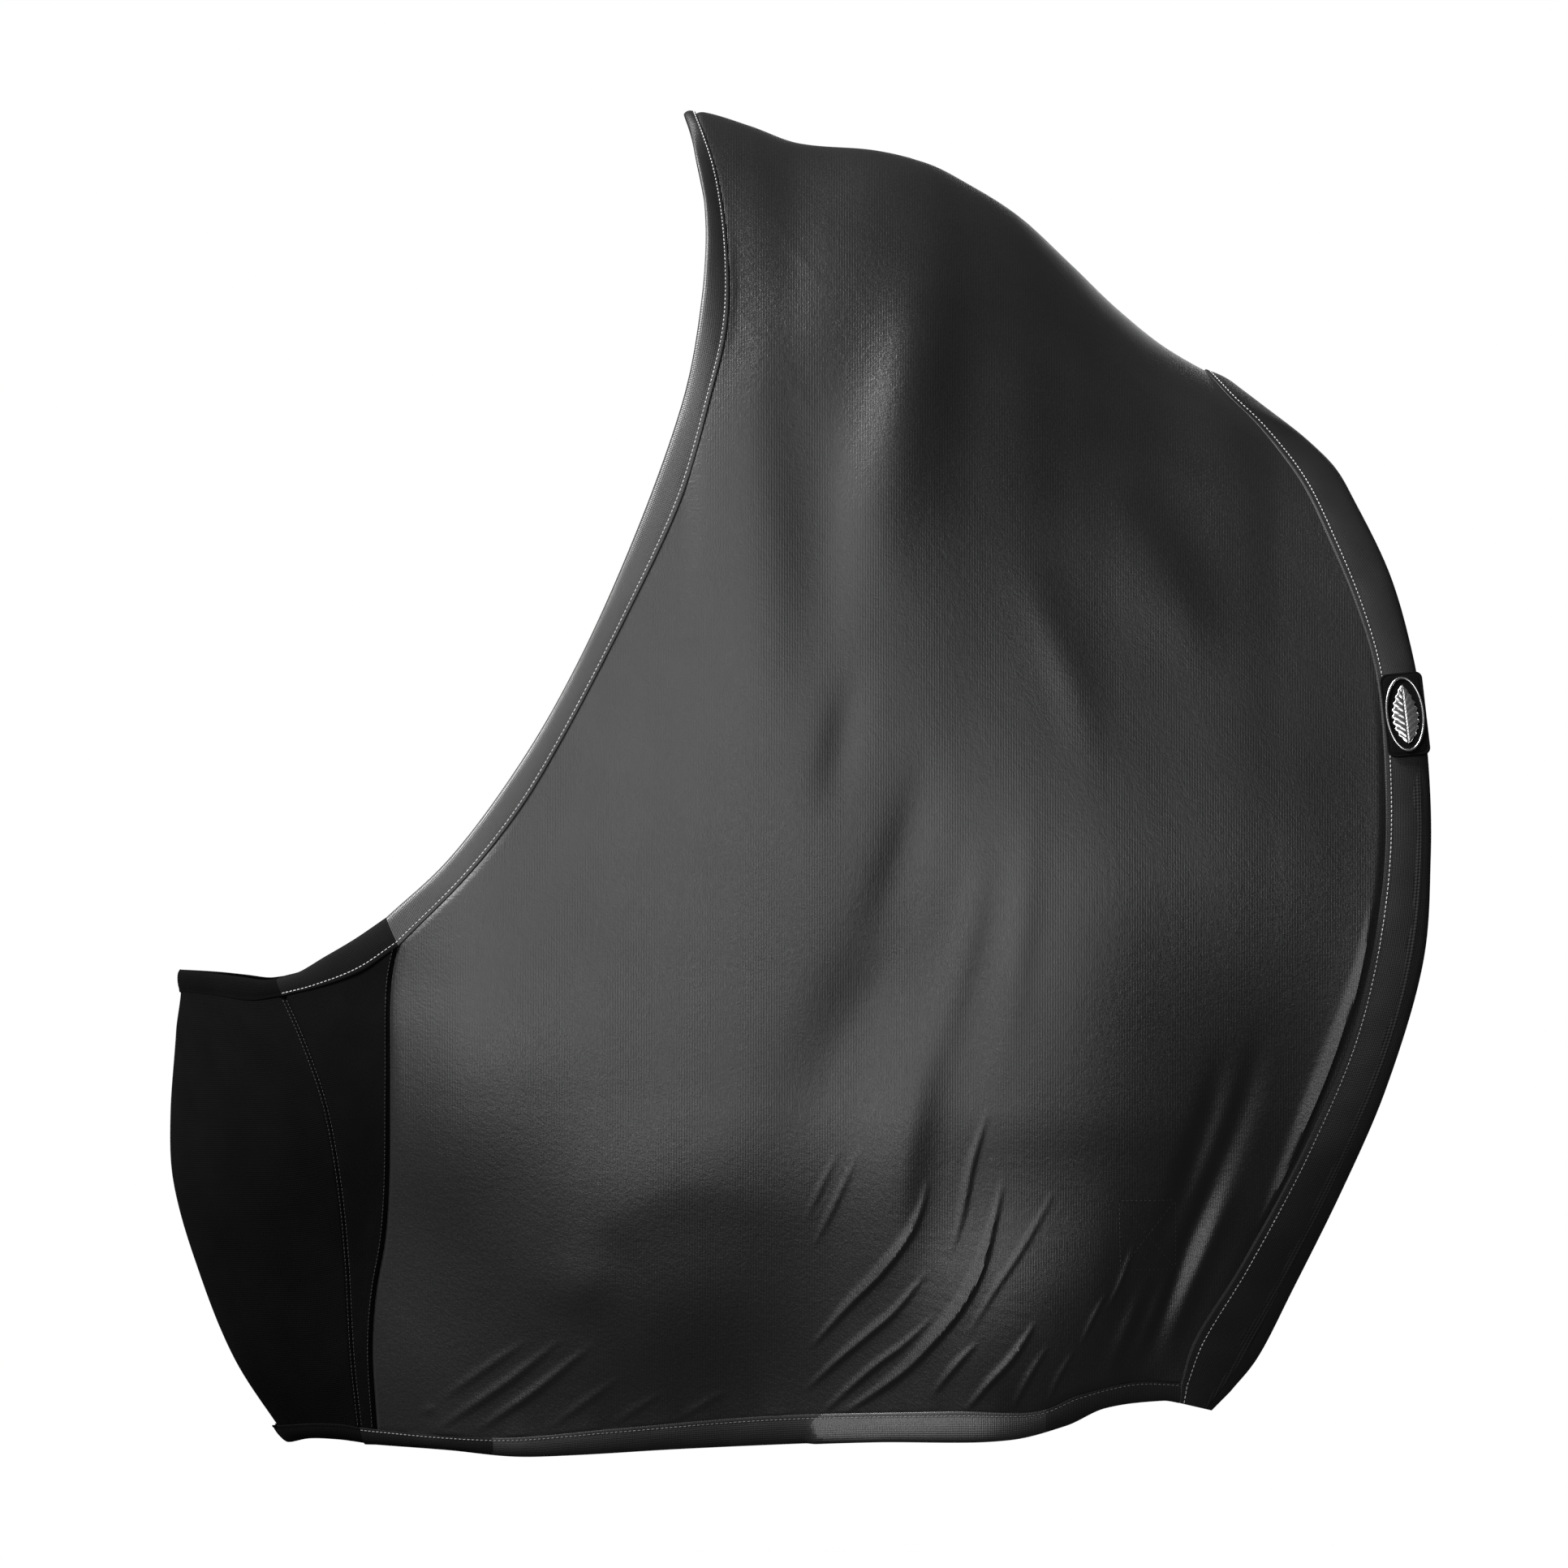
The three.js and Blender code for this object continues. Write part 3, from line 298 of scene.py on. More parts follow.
def object_from(name, points, faces, materials, slots=None, uv=None, sharp=50):
    """Mesh from points in mm and a list of face arrays: turned outwards, smooth, with a weave UV in m."""
    mesh = bpy.data.meshes.new(name)
    loops = np.concatenate([f.ravel() for f in faces])
    sizes = np.concatenate([np.full(len(f), f.shape[1]) for f in faces])
    mesh.vertices.add(len(points))
    mesh.vertices.foreach_set("co", (points * MM).astype(np.float32).ravel())
    mesh.loops.add(len(loops))
    mesh.loops.foreach_set("vertex_index", loops.astype(np.int32))
    mesh.polygons.add(len(sizes))
    mesh.polygons.foreach_set("loop_start", np.concatenate([[0], np.cumsum(sizes)[:-1]]).astype(np.int32))
    mesh.update(calc_edges=True)
    mesh.validate()
    for m in materials:
        mesh.materials.append(m)
    if slots is not None:
        mesh.polygons.foreach_set("material_index", slots.astype(np.int32))
    if uv is not None:
        layer = mesh.uv_layers.new(name="weave")
        layer.data.foreach_set("uv", (uv[loops] * MM).astype(np.float32).ravel())
    if signed_volume(mesh) < 0:
        mesh.flip_normals()
    mesh.shade_smooth()
    mesh.set_sharp_from_angle(angle=math.radians(sharp))
    obj = bpy.data.objects.new(name, mesh)
    bpy.context.scene.collection.objects.link(obj)
    return obj


def signed_volume(mesh):
    mesh.calc_loop_triangles()
    co = np.empty(len(mesh.vertices) * 3)
    mesh.vertices.foreach_get("co", co)
    tri = np.empty(len(mesh.loop_triangles) * 3, np.int32)
    mesh.loop_triangles.foreach_get("vertices", tri)
    a, b, c = co.reshape(-1, 3)[tri.reshape(-1, 3)].transpose(1, 0, 2)
    return float((a * np.cross(b, c)).sum())


def grid_faces(m, n, base=0):
    i, k = np.meshgrid(np.arange(m - 1), np.arange(n - 1), indexing="ij")
    a = (base + i * n + k).ravel()
    return np.stack([a, a + n, a + n + 1, a + 1], 1)


def rim_faces(m, n, coarse_m, coarse_n, base):
    """Triangles between the border of a fine grid and the border of a grid with every second point of it."""
    def border(rows, columns, start):
        i = np.arange(rows * columns).reshape(rows, columns) + start
        return np.concatenate([i[0, :-1], i[:-1, -1], i[-1, :0:-1], i[:0:-1, 0]])
    fine, coarse = border(m, n, 0), border(coarse_m, coarse_n, base)
    j = np.arange(len(coarse))
    o0, o1, o2 = fine[2 * j], fine[2 * j + 1], fine[(2 * j + 2) % len(fine)]
    i0, i1 = coarse[j], coarse[(j + 1) % len(coarse)]
    return np.concatenate([np.stack(t, 1) for t in ((o0, i0, o1), (o1, i0, i1), (o1, i1, o2))])


def run_lengths(grid):
    """Distance of each point of a grid from its first row and from its first column."""
    down = np.linalg.norm(np.diff(grid, axis=0), axis=2)
    along = np.linalg.norm(np.diff(grid, axis=1), axis=2)
    down = np.vstack([np.zeros((1, grid.shape[1])), np.cumsum(down, 0)])
    along = np.hstack([np.zeros((grid.shape[0], 1)), np.cumsum(along, 1)])
    return down, along


def cloth(name, points, normals, thickness, face, lining, uv=None):
    """Closed sheet with its outer face on a grid of points (odd counts) and a coarser inner face under it."""
    m, n = points.shape[:2]
    inner = (points - normals * thickness)[::2, ::2]
    if uv is None:
        down, along = run_lengths(points)
        uv = np.stack([along, down], -1)
    everything = np.vstack([points.reshape(-1, 3), inner.reshape(-1, 3)])
    weave = np.vstack([uv.reshape(-1, 2), uv[::2, ::2].reshape(-1, 2)])
    outer_faces = grid_faces(m, n)
    inner_faces = grid_faces(*inner.shape[:2], base=m * n)[:, ::-1]
    rim = rim_faces(m, n, *inner.shape[:2], base=m * n)
    slots = np.concatenate([np.zeros(len(outer_faces)), np.ones(len(inner_faces)), np.zeros(len(rim))])
    return object_from(name, everything, [outer_faces, inner_faces, rim], [face, lining], slots, weave)


def swept(name, rings, materials, uv=None, closed=False, sharp=50):
    """Solid through rings of points [station, k, 3], each ring closed, with flat ends unless it is a loop."""
    m, n = rings.shape[:2]
    k = np.arange(n)
    i = np.arange(m if closed else m - 1)[:, None]
    a, b = i * n + k, ((i + 1) % m) * n + k
    c, d = ((i + 1) % m) * n + (k + 1) % n, i * n + (k + 1) % n
    faces = [np.stack([a, b, c, d], -1).reshape(-1, 4)]
    if not closed:
        faces += [k[::-1][None], (k + (m - 1) * n)[None]]
    return object_from(name, rings.reshape(-1, 3), faces, materials, uv=uv, sharp=sharp)


def tube(name, path, radius, finish, sides=14, closed=False):
    """Round wire along points in mm."""
    path = np.array(path, float)
    step = (np.roll(path, -1, 0) - np.roll(path, 1, 0)) if closed else np.gradient(path, axis=0)
    forward = unit(step)
    side = np.cross(forward, [0, 0, 1])
    weak = np.linalg.norm(side, axis=1) < 0.3
    side[weak] = np.cross(forward[weak], [1, 0, 0])
    side = unit(side)
    for i in range(1, len(side)):  # carried along, so that the wire doesn't twist
        carried = side[i - 1] - forward[i] * (side[i - 1] @ forward[i])
        side[i] = carried / np.linalg.norm(carried)
    up = np.cross(side, forward)
    a = np.linspace(0, 2 * np.pi, sides, endpoint=False)
    radius = np.broadcast_to(radius, (len(path),))[:, None, None]
    rings = path[:, None] + radius * (np.cos(a)[None, :, None] * side[:, None]
                                      + np.sin(a)[None, :, None] * up[:, None])
    return swept(name, rings, [finish], closed=closed)


# ----------------------------------------------------------------------------------------------- materials
def new_material(name, color, roughness, metallic=0.0, specular=0.5, sheen=0.0, sheen_roughness=0.5):
    mat = bpy.data.materials.new(name)
    mat.use_nodes = True
    nodes, links = mat.node_tree.nodes, mat.node_tree.links
    shader = nodes["Principled BSDF"]
    for socket, value in (("Base Color", (*color, 1)), ("Roughness", roughness), ("Metallic", metallic),
                          ("Specular IOR Level", specular), ("Sheen Weight", sheen),
                          ("Sheen Roughness", sheen_roughness)):
        shader.inputs[socket].default_value = value
    return mat, nodes, links, shader


def place(nodes, uv):
    """Texture coordinates in metres: along the weave, or in the object."""
    if not uv:
        return nodes.new("ShaderNodeTexCoord").outputs["Object"]
    own = nodes.new("ShaderNodeUVMap")
    own.uv_map = "weave"
    return own.outputs["UV"]


def noise(nodes, links, where, scale, detail=3, rough=0.55):
    n = nodes.new("ShaderNodeTexNoise")
    n.inputs["Scale"].default_value = scale
    n.inputs["Detail"].default_value = detail
    n.inputs["Roughness"].default_value = rough
    links.new(where, n.inputs["Vector"])
    return n.outputs["Fac"]


def wave(nodes, links, where, per_metre, direction="X", distortion=0.0):
    w = nodes.new("ShaderNodeTexWave")
    w.bands_direction = direction
    w.inputs["Scale"].default_value = per_metre / 3.1831  # the texture's own bands are 20 / (2 pi) to a unit
    w.inputs["Distortion"].default_value = distortion
    w.inputs["Detail"].default_value = 1
    links.new(where, w.inputs["Vector"])
    return w.outputs["Fac"]


def spread(nodes, links, value, low, high):
    """The middle part of a noise, spread over a range."""
    r = nodes.new("ShaderNodeMapRange")
    for socket, number in (("From Min", 0.3), ("From Max", 0.7), ("To Min", low), ("To Max", high)):
        r.inputs[socket].default_value = number
    links.new(value, r.inputs["Value"])
    return r.outputs["Result"]


def tint(nodes, links, value, dark, light):
    ramp = nodes.new("ShaderNodeValToRGB")
    ramp.color_ramp.elements[0].position = 0.3
    ramp.color_ramp.elements[1].position = 0.7
    ramp.color_ramp.elements[0].color = (*dark, 1)
    ramp.color_ramp.elements[1].color = (*light, 1)
    links.new(value, ramp.inputs["Fac"])
    return ramp.outputs["Color"]


def total(nodes, links, a, b, share_b):
    """a plus a share of b."""
    m = nodes.new("ShaderNodeMath")
    m.operation = "MULTIPLY_ADD"
    links.new(b, m.inputs[0])
    m.inputs[1].default_value = share_b
    links.new(a, m.inputs[2])
    return m.outputs["Value"]


def bump(nodes, links, shader, height, distance, strength=1.0):
    b = nodes.new("ShaderNodeBump")
    b.inputs["Strength"].default_value = strength
    b.inputs["Distance"].default_value = distance
    links.new(height, b.inputs["Height"])
    links.new(b.outputs["Normal"], shader.inputs["Normal"])


def satin():
    """Black stretch satin: a fine warp knit with a soft gloss that shows every turn of the surface."""
    mat, nodes, links, shader = new_material("satin", (0.009,) * 3, 0.40, specular=0.75, sheen=0.06,
                                             sheen_roughness=0.4)
    uv = place(nodes, True)
    cloud = noise(nodes, links, uv, 14, 4)
    grain = noise(nodes, links, uv, 520, 3, 0.7)
    links.new(tint(nodes, links, cloud, (0.006, 0.006, 0.0063), (0.011, 0.011, 0.0114)),
              shader.inputs["Base Color"])
    links.new(spread(nodes, links, grain, 0.35, 0.46), shader.inputs["Roughness"])
    wales = wave(nodes, links, uv, 900, "X", 0.6)
    pebble = noise(nodes, links, uv, 190, 4, 0.75)
    weave = total(nodes, links, grain, wales, 0.35)
    bump(nodes, links, shader, total(nodes, links, weave, pebble, 1.3), 0.00026, 0.8)
    return mat


def knit(name, dark, light, roughness, specular, per_metre=700, depth=0.00016, uv=True):
    """Dull stretch knit: crossing ribs, fuzz and uneven dye."""
    mat, nodes, links, shader = new_material(name, light, roughness, specular=specular)
    where = place(nodes, uv)
    cloud = noise(nodes, links, where, 30, 4)
    fuzz = noise(nodes, links, where, 900, 2)
    links.new(tint(nodes, links, cloud, dark, light), shader.inputs["Base Color"])
    links.new(spread(nodes, links, fuzz, roughness - 0.07, roughness + 0.07), shader.inputs["Roughness"])
    ribs = total(nodes, links, wave(nodes, links, where, per_metre, "X"),
                 wave(nodes, links, where, per_metre, "Y"), 0.7)
    bump(nodes, links, shader, total(nodes, links, ribs, fuzz, 0.8), depth, 0.7)
    return mat


def metal(name, color, roughness, brush=700):
    """Nickel-plated steel: fine brushing, cloudy tarnish and small pits."""
    mat, nodes, links, shader = new_material(name, color, roughness, metallic=1.0)
    where = place(nodes, False)
    cloud = noise(nodes, links, where, 120, 4)
    brushed = noise(nodes, links, where, brush, 5, 0.7)
    links.new(tint(nodes, links, cloud, tuple(0.72 * c for c in color), color), shader.inputs["Base Color"])
    links.new(spread(nodes, links, brushed, roughness - 0.08, roughness + 0.12), shader.inputs["Roughness"])
    bump(nodes, links, shader, brushed, 0.00004, 0.5)
    return mat


def moulded(name, dark, light, roughness):
    """Moulded nylon: fine spark-eroded grain with a worn, slightly paler cloud."""
    mat, nodes, links, shader = new_material(name, light, roughness, specular=0.4)
    where = place(nodes, False)
    grain = noise(nodes, links, where, 1800, 3)
    cloud = noise(nodes, links, where, 90, 3)
    links.new(tint(nodes, links, cloud, dark, light), shader.inputs["Base Color"])
    links.new(spread(nodes, links, grain, roughness - 0.08, roughness + 0.08), shader.inputs["Roughness"])
    bump(nodes, links, shader, grain, 0.00005, 0.6)
    return mat


SATIN = satin()
LINING = knit("lining", (0.010,) * 3, (0.016,) * 3, 0.8, 0.2, 600)
MATTE = knit("matte_fabric", (0.0014,) * 3, (0.0026,) * 3, 0.85, 0.06, 700)
DULL = knit("dull_band", (0.003,) * 3, (0.005,) * 3, 0.75, 0.12, 800, 0.00012)
# binding finish: the neck binding's own glossy fabric, and on the hem over the elbow a painted highlight
BINDING_AND_HEM_HIGHLIGHT = knit("binding", (0.012,) * 3, (0.018,) * 3, 0.42, 0.85, 800, 0.0001)
BAND = knit("band", (0.008,) * 3, (0.013,) * 3, 0.52, 0.4, 800, 0.00012)
ELASTIC = knit("elastic", (0.008,) * 3, (0.014,) * 3, 0.75, 0.3, 420, 0.0003)
WEBBING = knit("webbing", (0.008,) * 3, (0.015,) * 3, 0.7, 0.3, 330, 0.0004)
LABEL = knit("label", (0.55, 0.55, 0.53), (0.68, 0.68, 0.66), 0.75, 0.3, 1500, 0.00006)
THREAD = knit("thread", (0.55,) * 3, (0.75,) * 3, 0.4, 0.6, 1500, 0.0001, uv=False)
GREY_THREAD = knit("grey_thread", (0.16,) * 3, (0.24,) * 3, 0.5, 0.4, 1500, 0.0001, uv=False)
DARK_THREAD = knit("dark_thread", (0.03,) * 3, (0.05,) * 3, 0.6, 0.4, 1500, 0.0001, uv=False)
STEEL = metal("steel", (0.62, 0.62, 0.63), 0.28)
BADGE_METAL = metal("badge_metal", (0.72, 0.72, 0.72), 0.25, 1500)
PLASTIC = moulded("plastic", (0.006,) * 3, (0.011,) * 3, 0.45)
PATCH = knit("badge_cloth", (0.0012,) * 3, (0.0024,) * 3, 0.8, 0.1, 1300, 0.00008, uv=False)


# ------------------------------------------------------------------------------------------ how cloth lies
def nearest(xz, line):
    """Signed distance from a line, positive on its rear side, and the share of the line's length."""
    flat = xz.reshape(-1, 2)
    best = np.full(len(flat), 1e18)
    signed, share = np.zeros(len(flat)), np.zeros(len(flat))
    points, run = line.points, line.run
    for a, b, start in zip(points[:-1], points[1:], run[:-1]):
        ab = b - a
        size = np.linalg.norm(ab)
        t = np.clip(((flat - a) @ ab) / size ** 2, 0, 1)
        away = flat - (a + t[:, None] * ab)
        distance = (away ** 2).sum(1)
        closer = distance < best
        best[closer] = distance[closer]
        side = np.sign(ab[0] * away[:, 1] - ab[1] * away[:, 0])
        signed[closer] = (side * np.sqrt(distance))[closer]
        share[closer] = ((start + t * size) / line.length)[closer]
    return signed.reshape(xz.shape[:-1]), share.reshape(xz.shape[:-1])


def ridge_rise(xz, line, ahead, behind, rise):
    """Rise of a ridge: a bell on each side of its line, fading out over both ends."""
    signed, share = nearest(xz, Line(line, 8))
    width = np.where(signed > 0, behind, ahead)
    bell = np.exp(-(signed / width) ** 2)
    return rise * bell * ease(0, 0.5, share) * ease(1, 0.5, share)


def fold_rise(xz, line, ahead, behind, rise):
    """Rise of a sharp fold: a flank that slopes up to a crest, which drops off steeply on the rear side."""
    near = Line(line, 16)
    margin = 3 * ahead
    low, high = near.points.min(0) - margin, near.points.max(0) + margin
    inside = ((xz > low) & (xz < high)).all(-1)
    out = np.zeros(xz.shape[:-1])
    if not inside.any():
        return out
    signed, share = nearest(xz[inside], near)
    swell = np.sin(np.pi * np.clip(share, 0, 1)) ** 0.8
    width = np.where(signed > 0, behind, ahead * np.maximum(swell, 0.35))
    left = 1 - np.abs(signed) / width
    out[inside] = 0.75 * rise * swell * (left + np.sqrt(left ** 2 + 0.03)) / 2
    return out


def hem_ripples(x, distance):
    """Small gathers that start at a stitched hem and die away from it."""
    gathers = np.sin(x / 7.3) + 0.6 * np.sin(x / 4.1 + 1.3) + 0.5 * np.sin(x / 11.7 + 0.4)
    return 0.35 * gathers * np.exp(-distance / 16)


def relief(xz):
    """How far the satin stands off the plain surface, in mm."""
    out = np.zeros(xz.shape[:-1])
    for ridge in SOFT_RIDGES:
        out += ridge_rise(xz, *ridge)
    for fold in CRISP_FOLDS:
        out += fold_rise(xz, *fold)
    return out


# -------------------------------------------------------------------------------------- the shoulder panel
def shoulder_shares():
    rows = graded(256, lambda s: 1 + 10 * np.exp(-s / 0.004) + 1.9 * ease(0.70, 0.80, s)
                  + 5 * np.exp(-(1 - s) / 0.003))
    columns = graded(296, lambda u: 1 + 5 * np.exp(-u / 0.006) + 0.5 * ease(0.40, 0.5, u)
                     + 3 * np.exp(-(1 - u) / 0.006))
    return rows, columns


def shoulder_front(s):
    upper = CURVES["neckStitch"](s / GUSSET_TOP)
    lower = CURVES["gussetSeam"]((s - GUSSET_TOP) / (1 - GUSSET_TOP)) + [0.3, 0]
    return np.where((s < GUSSET_TOP)[:, None], upper, lower)


def shoulder_plan():
    """Side-view grid of the near shoulder panel between its stitch lines."""
    rows, columns = shoulder_shares()
    ridge_x = OUTLINES["neckStitch"][0][0] + columns * (OUTLINES["backStitch"][0][0]
                                                        - OUTLINES["neckStitch"][0][0])
    top = np.stack([ridge_x, through(RIDGE, ridge_x)], -1)
    bottom = CURVES["bottomStitch"](columns)
    return rows, coons(shoulder_front(rows), CURVES["backStitch"](rows), top, bottom, rows, columns)


def shoulder_surface():
    """Near panel's outer face (points, normals, weave coordinates), with edges tucked under the bands."""
    rows, plan = shoulder_plan()
    points, normals = on_horse(plan)
    down, along = run_lengths(points)
    to_bottom, to_back = down[-1] - down, along[:, -1:] - along
    beside_gusset = (rows >= GUSSET_TOP)[:, None]
    edge = np.minimum(np.minimum(along, to_back), to_bottom)
    calm = ease(0, 9, edge) * ease(4, 60, down)
    lift = relief(plan) * calm + hem_ripples(plan[..., 0], to_bottom) * ease(0, 3, to_bottom)
    lift -= np.where(beside_gusset, 1.7 * np.exp(-(along / 1.9) ** 2), 0.35 * np.exp(-(along / 2.2) ** 2))
    lift -= 1.5 * np.exp(-(down / 2.0) ** 2) + 0.35 * np.exp(-(to_bottom / 2.2) ** 2)
    lift -= 0.35 * np.exp(-(to_back / 2.2) ** 2)
    points = points + normals * lift[..., None]
    weave = np.stack([plan[..., 0], down], -1)
    front, front_n, back, back_n = [], [], [], []
    for share in (0.5, 0.25):
        tucked = across(on_horse(CURVES["neckStitch"](rows / GUSSET_TOP)),
                        on_horse(CURVES["neckEdge"](rows / GUSSET_TOP)), share)
        sunk = points[:, 0] - normals[:, 0] * 2.5 * share
        front.append(np.where(beside_gusset, sunk, tucked[0]))
        front_n.append(normals[:, 0])
    for share in (0.12, 0.24):
        q = across(on_horse(CURVES["backStitch"](rows)), on_horse(CURVES["backEdge"](rows)), share)
        back.append(q[0])
        back_n.append(q[1])
    points = np.concatenate([np.stack(front, 1), points, np.stack(back, 1)], 1)
    normals = np.concatenate([np.stack(front_n, 1), normals, np.stack(back_n, 1)], 1)
    weave = np.concatenate([weave[:, :1] - [[[4, 0]]], weave[:, :1] - [[[2, 0]]], weave,
                            weave[:, -1:] + [[[2, 0]]], weave[:, -1:] + [[[4, 0]]]], 1)
    hem_x = points[-1, :, 0]
    hem = on_horse(np.stack([hem_x, through(OUTLINES["bottomEdge"], hem_x)], -1))
    under = [across((points[-1], normals[-1]), hem, share) for share in (0.25, 0.5)]
    points = np.concatenate([points, under[0][0][None], under[1][0][None]], 0)
    normals = np.concatenate([normals, under[0][1][None], under[1][1][None]], 0)
    weave = np.concatenate([weave, weave[-1:] + [[[0, 3]]], weave[-1:] + [[[0, 6]]]], 0)
    return points, normals, weave


def across(stitch, edge, share):
    """Point and normal between two lines of surface points: 0 at the first, 1 at the second."""
    share = np.asarray(share, float)
    while share.ndim and share.ndim < stitch[0].ndim:
        share = share[..., None]
    return stitch[0] * (1 - share) + edge[0] * share, unit(stitch[1] * (1 - share) + edge[1] * share)


def panel_pair(name, face, points, normals, weave=None):
    """A panel on the near side and its mirror image on the off side."""
    near = cloth(f"near_{name}", points, normals, CLOTH_T, face, LINING, weave)
    off = cloth(f"off_{name}", flip_y(points)[:, ::-1], flip_y(normals)[:, ::-1], CLOTH_T, face, LINING,
                None if weave is None else weave[:, ::-1])
    return near, off


# --------------------------------------------------------------------------------- chest panel and gussets
def lower_sheet(plan, top_edge, bottom_edge, middle_y=BESIDE_MIDDLE, both_sides=False, front_seam=True):
    """Dull low panel from its side-view plan, reaching a little way into the bands above and below it."""
    points, normals = on_horse(plan, middle_y)
    along = run_lengths(points)[1]
    to_right = along[:, -1:] - along
    lift = 0.5 * np.sin(points[..., 2] / 31 + points[..., 0] / 47) * ease(0, 30, np.minimum(along, to_right))
    for seam in (along, to_right) if front_seam else (to_right,):
        lift = lift - 1.5 * np.exp(-(seam / 1.8) ** 2)
    points = points + normals * lift[..., None]
    top, bottom = on_horse(top_edge, middle_y), on_horse(bottom_edge, middle_y)
    above = [across((points[0], normals[0]), top, share) for share in (0.5, 0.25)]
    below = [across((points[-1], normals[-1]), bottom, share) for share in (0.25, 0.5)]
    points = np.concatenate([[a[0] for a in above], points, [b[0] for b in below]], 0)
    normals = np.concatenate([[a[1] for a in above], normals, [b[1] for b in below]], 0)
    if both_sides:
        points = np.concatenate([points[:, ::-1], flip_y(points)[:, 1:]], 1)
        normals = np.concatenate([normals[:, ::-1], flip_y(normals)[:, 1:]], 1)
    return points, normals


def lower_rows():
    return graded(112, lambda s: 1 + 3 * np.exp(-s / 0.01) + 3 * np.exp(-(1 - s) / 0.01))


def gusset_surface():
    s = lower_rows()
    u = graded(48, lambda t: 1 + 4 * np.exp(-t / 0.03) + 4 * np.exp(-(1 - t) / 0.03))
    front = CURVES["chestSeam"](s) + [0.3, 0]
    rear = CURVES["gussetSeam"](s) - [0.3, 0]
    bottom = front[-1] + (rear[-1] - front[-1]) * u[:, None]
    plan = coons(front, rear, CURVES["gussetNeckStitch"](1 - u), bottom, s, u)
    hem = np.stack([-415 + 8 * u, 0 * u - 888], -1)
    return lower_sheet(plan, CURVES["gussetNeckEdge"](1 - u), hem)


def chest_plan():
    s = lower_rows()
    u = graded(64, lambda t: 0.25 + 1.9 * t ** 0.9 + 4 * np.exp(-(1 - t) / 0.02))
    u = u ** 1.5
    z = OUTLINES["chestNeckStitch"][0][1] + s * (OUTLINES["chestBottomStitch"][0][1]
                                                 - OUTLINES["chestNeckStitch"][0][1])
    middle = np.stack([through(FRONT, z), z], -1)
    rear = CURVES["chestSeam"](s) - [0.3, 0]
    return u, coons(middle, rear, CURVES["chestNeckStitch"](u), CURVES["chestBottomStitch"](u), s, u)


def chest():
    u, plan = chest_plan()
    points, normals = lower_sheet(plan, CURVES["chestNeckEdge"](u), CURVES["chestBottomEdge"](u), 0.0,
                                  both_sides=True, front_seam=False)
    return cloth("chest_cloth", points, normals, CLOTH_T, MATTE, LINING)


# --------------------------------------------------------------------------------- bindings, casings, hems
BAND_PROFILE = [  # share of the band's width from its stitch line to its edge, and height in mm
    (-0.13, 0.15), (-0.12, 0.55), (-0.06, 0.85), (0.02, 0.75), (0.12, 1.05), (0.25, 1.35), (0.42, 1.5),
    (0.60, 1.45), (0.76, 1.2), (0.88, 0.75), (0.96, 0.05), (1.0, -0.9), (0.96, -1.75), (0.86, -2.35),
    (0.62, -2.7), (0.35, -2.75), (0.10, -2.55), (-0.08, -2.4), (-0.12, -2.1), (-0.10, -1.75), (0.30, -1.8),
    (0.60, -1.75), (0.80, -1.3), (0.86, -0.9), (0.80, -0.3), (0.60, 0.15), (0.30, 0.2), (0.0, 0.15),
]
STITCH_PITCH = 3.2


def band(name, stitch, edge, finish, puff=1.0, gather=0.0, phase=0.0, lean=None):
    """Folded band between two lines of surface points, pinched at each stitch and slightly gathered."""
    profile = np.array(BAND_PROFILE)
    mid = (stitch[0] + edge[0]) / 2
    run = np.concatenate([[0], np.cumsum(np.linalg.norm(np.diff(mid, axis=0), axis=1))])
    pinch = 0.18 * np.cos(2 * np.pi * run / STITCH_PITCH)
    wander = np.sin(run / 9.1 + phase) + 0.7 * np.sin(run / 5.3 + 2 * phase) + 0.5 * np.sin(run / 15.7)
    rings = []
    for share, height in profile:
        on, normal = across(stitch, edge, share)
        over = min(max(share, 0), 1)
        lift = np.full(run.shape, height)
        if height > 0.5:  # the outer face
            lift = lift * puff + pinch * math.exp(-((share - 0.02) / 0.08) ** 2)
            lift = lift + gather * wander * math.sin(math.pi * over)
        if lean:
            lift = lift + lean(mid) * over
        rings.append(on + normal * lift[:, None])
    rings = np.stack(rings, 1)
    width = np.linalg.norm(edge[0] - stitch[0], axis=1)
    girth = np.cumsum(np.hypot(np.diff(profile[:, 0], prepend=profile[0, 0]) * width.mean(),
                               np.diff(profile[:, 1], prepend=profile[0, 1])))
    uv = np.stack(np.broadcast_arrays(run[:, None], girth[None]), -1).reshape(-1, 2)
    return swept(name, rings, [finish], uv=uv, sharp=60)


def even(length, step=1.05):
    return np.linspace(0, 1, max(8, int(length / step)) + 1)


def surface_lines(stitch, edge, middle_y=BESIDE_MIDDLE):
    return on_horse(stitch, middle_y), on_horse(edge, middle_y)


def mirrored(pair):
    return tuple((flip_y(p), flip_y(n)) for p, n in pair)


def join(*pairs):
    """Several stretches of band lines, end to end, as one."""
    return tuple((np.concatenate([p[i][0] for p in pairs]), np.concatenate([p[i][1] for p in pairs]))
                 for i in (0, 1))


def neck_lines():
    t = even(CURVES["neckStitch"].length)
    upper = surface_lines(CURVES["neckStitch"](t), CURVES["neckEdge"](t))
    g = even(CURVES["gussetNeckStitch"].length)[1:]
    return join(upper, surface_lines(CURVES["gussetNeckStitch"](g), CURVES["gussetNeckEdge"](g)))


def chest_lines(stitch, edge, step):
    """Lines of a band across the chest, from the near gusset to the off one."""
    t = even(CURVES[stitch].length, step) ** 1.5
    near = surface_lines(CURVES[stitch](t), CURVES[edge](t), 0.0)
    return join(tuple((p[::-1], n[::-1]) for p, n in near), tuple((p[1:], n[1:]) for p, n in mirrored(near)))


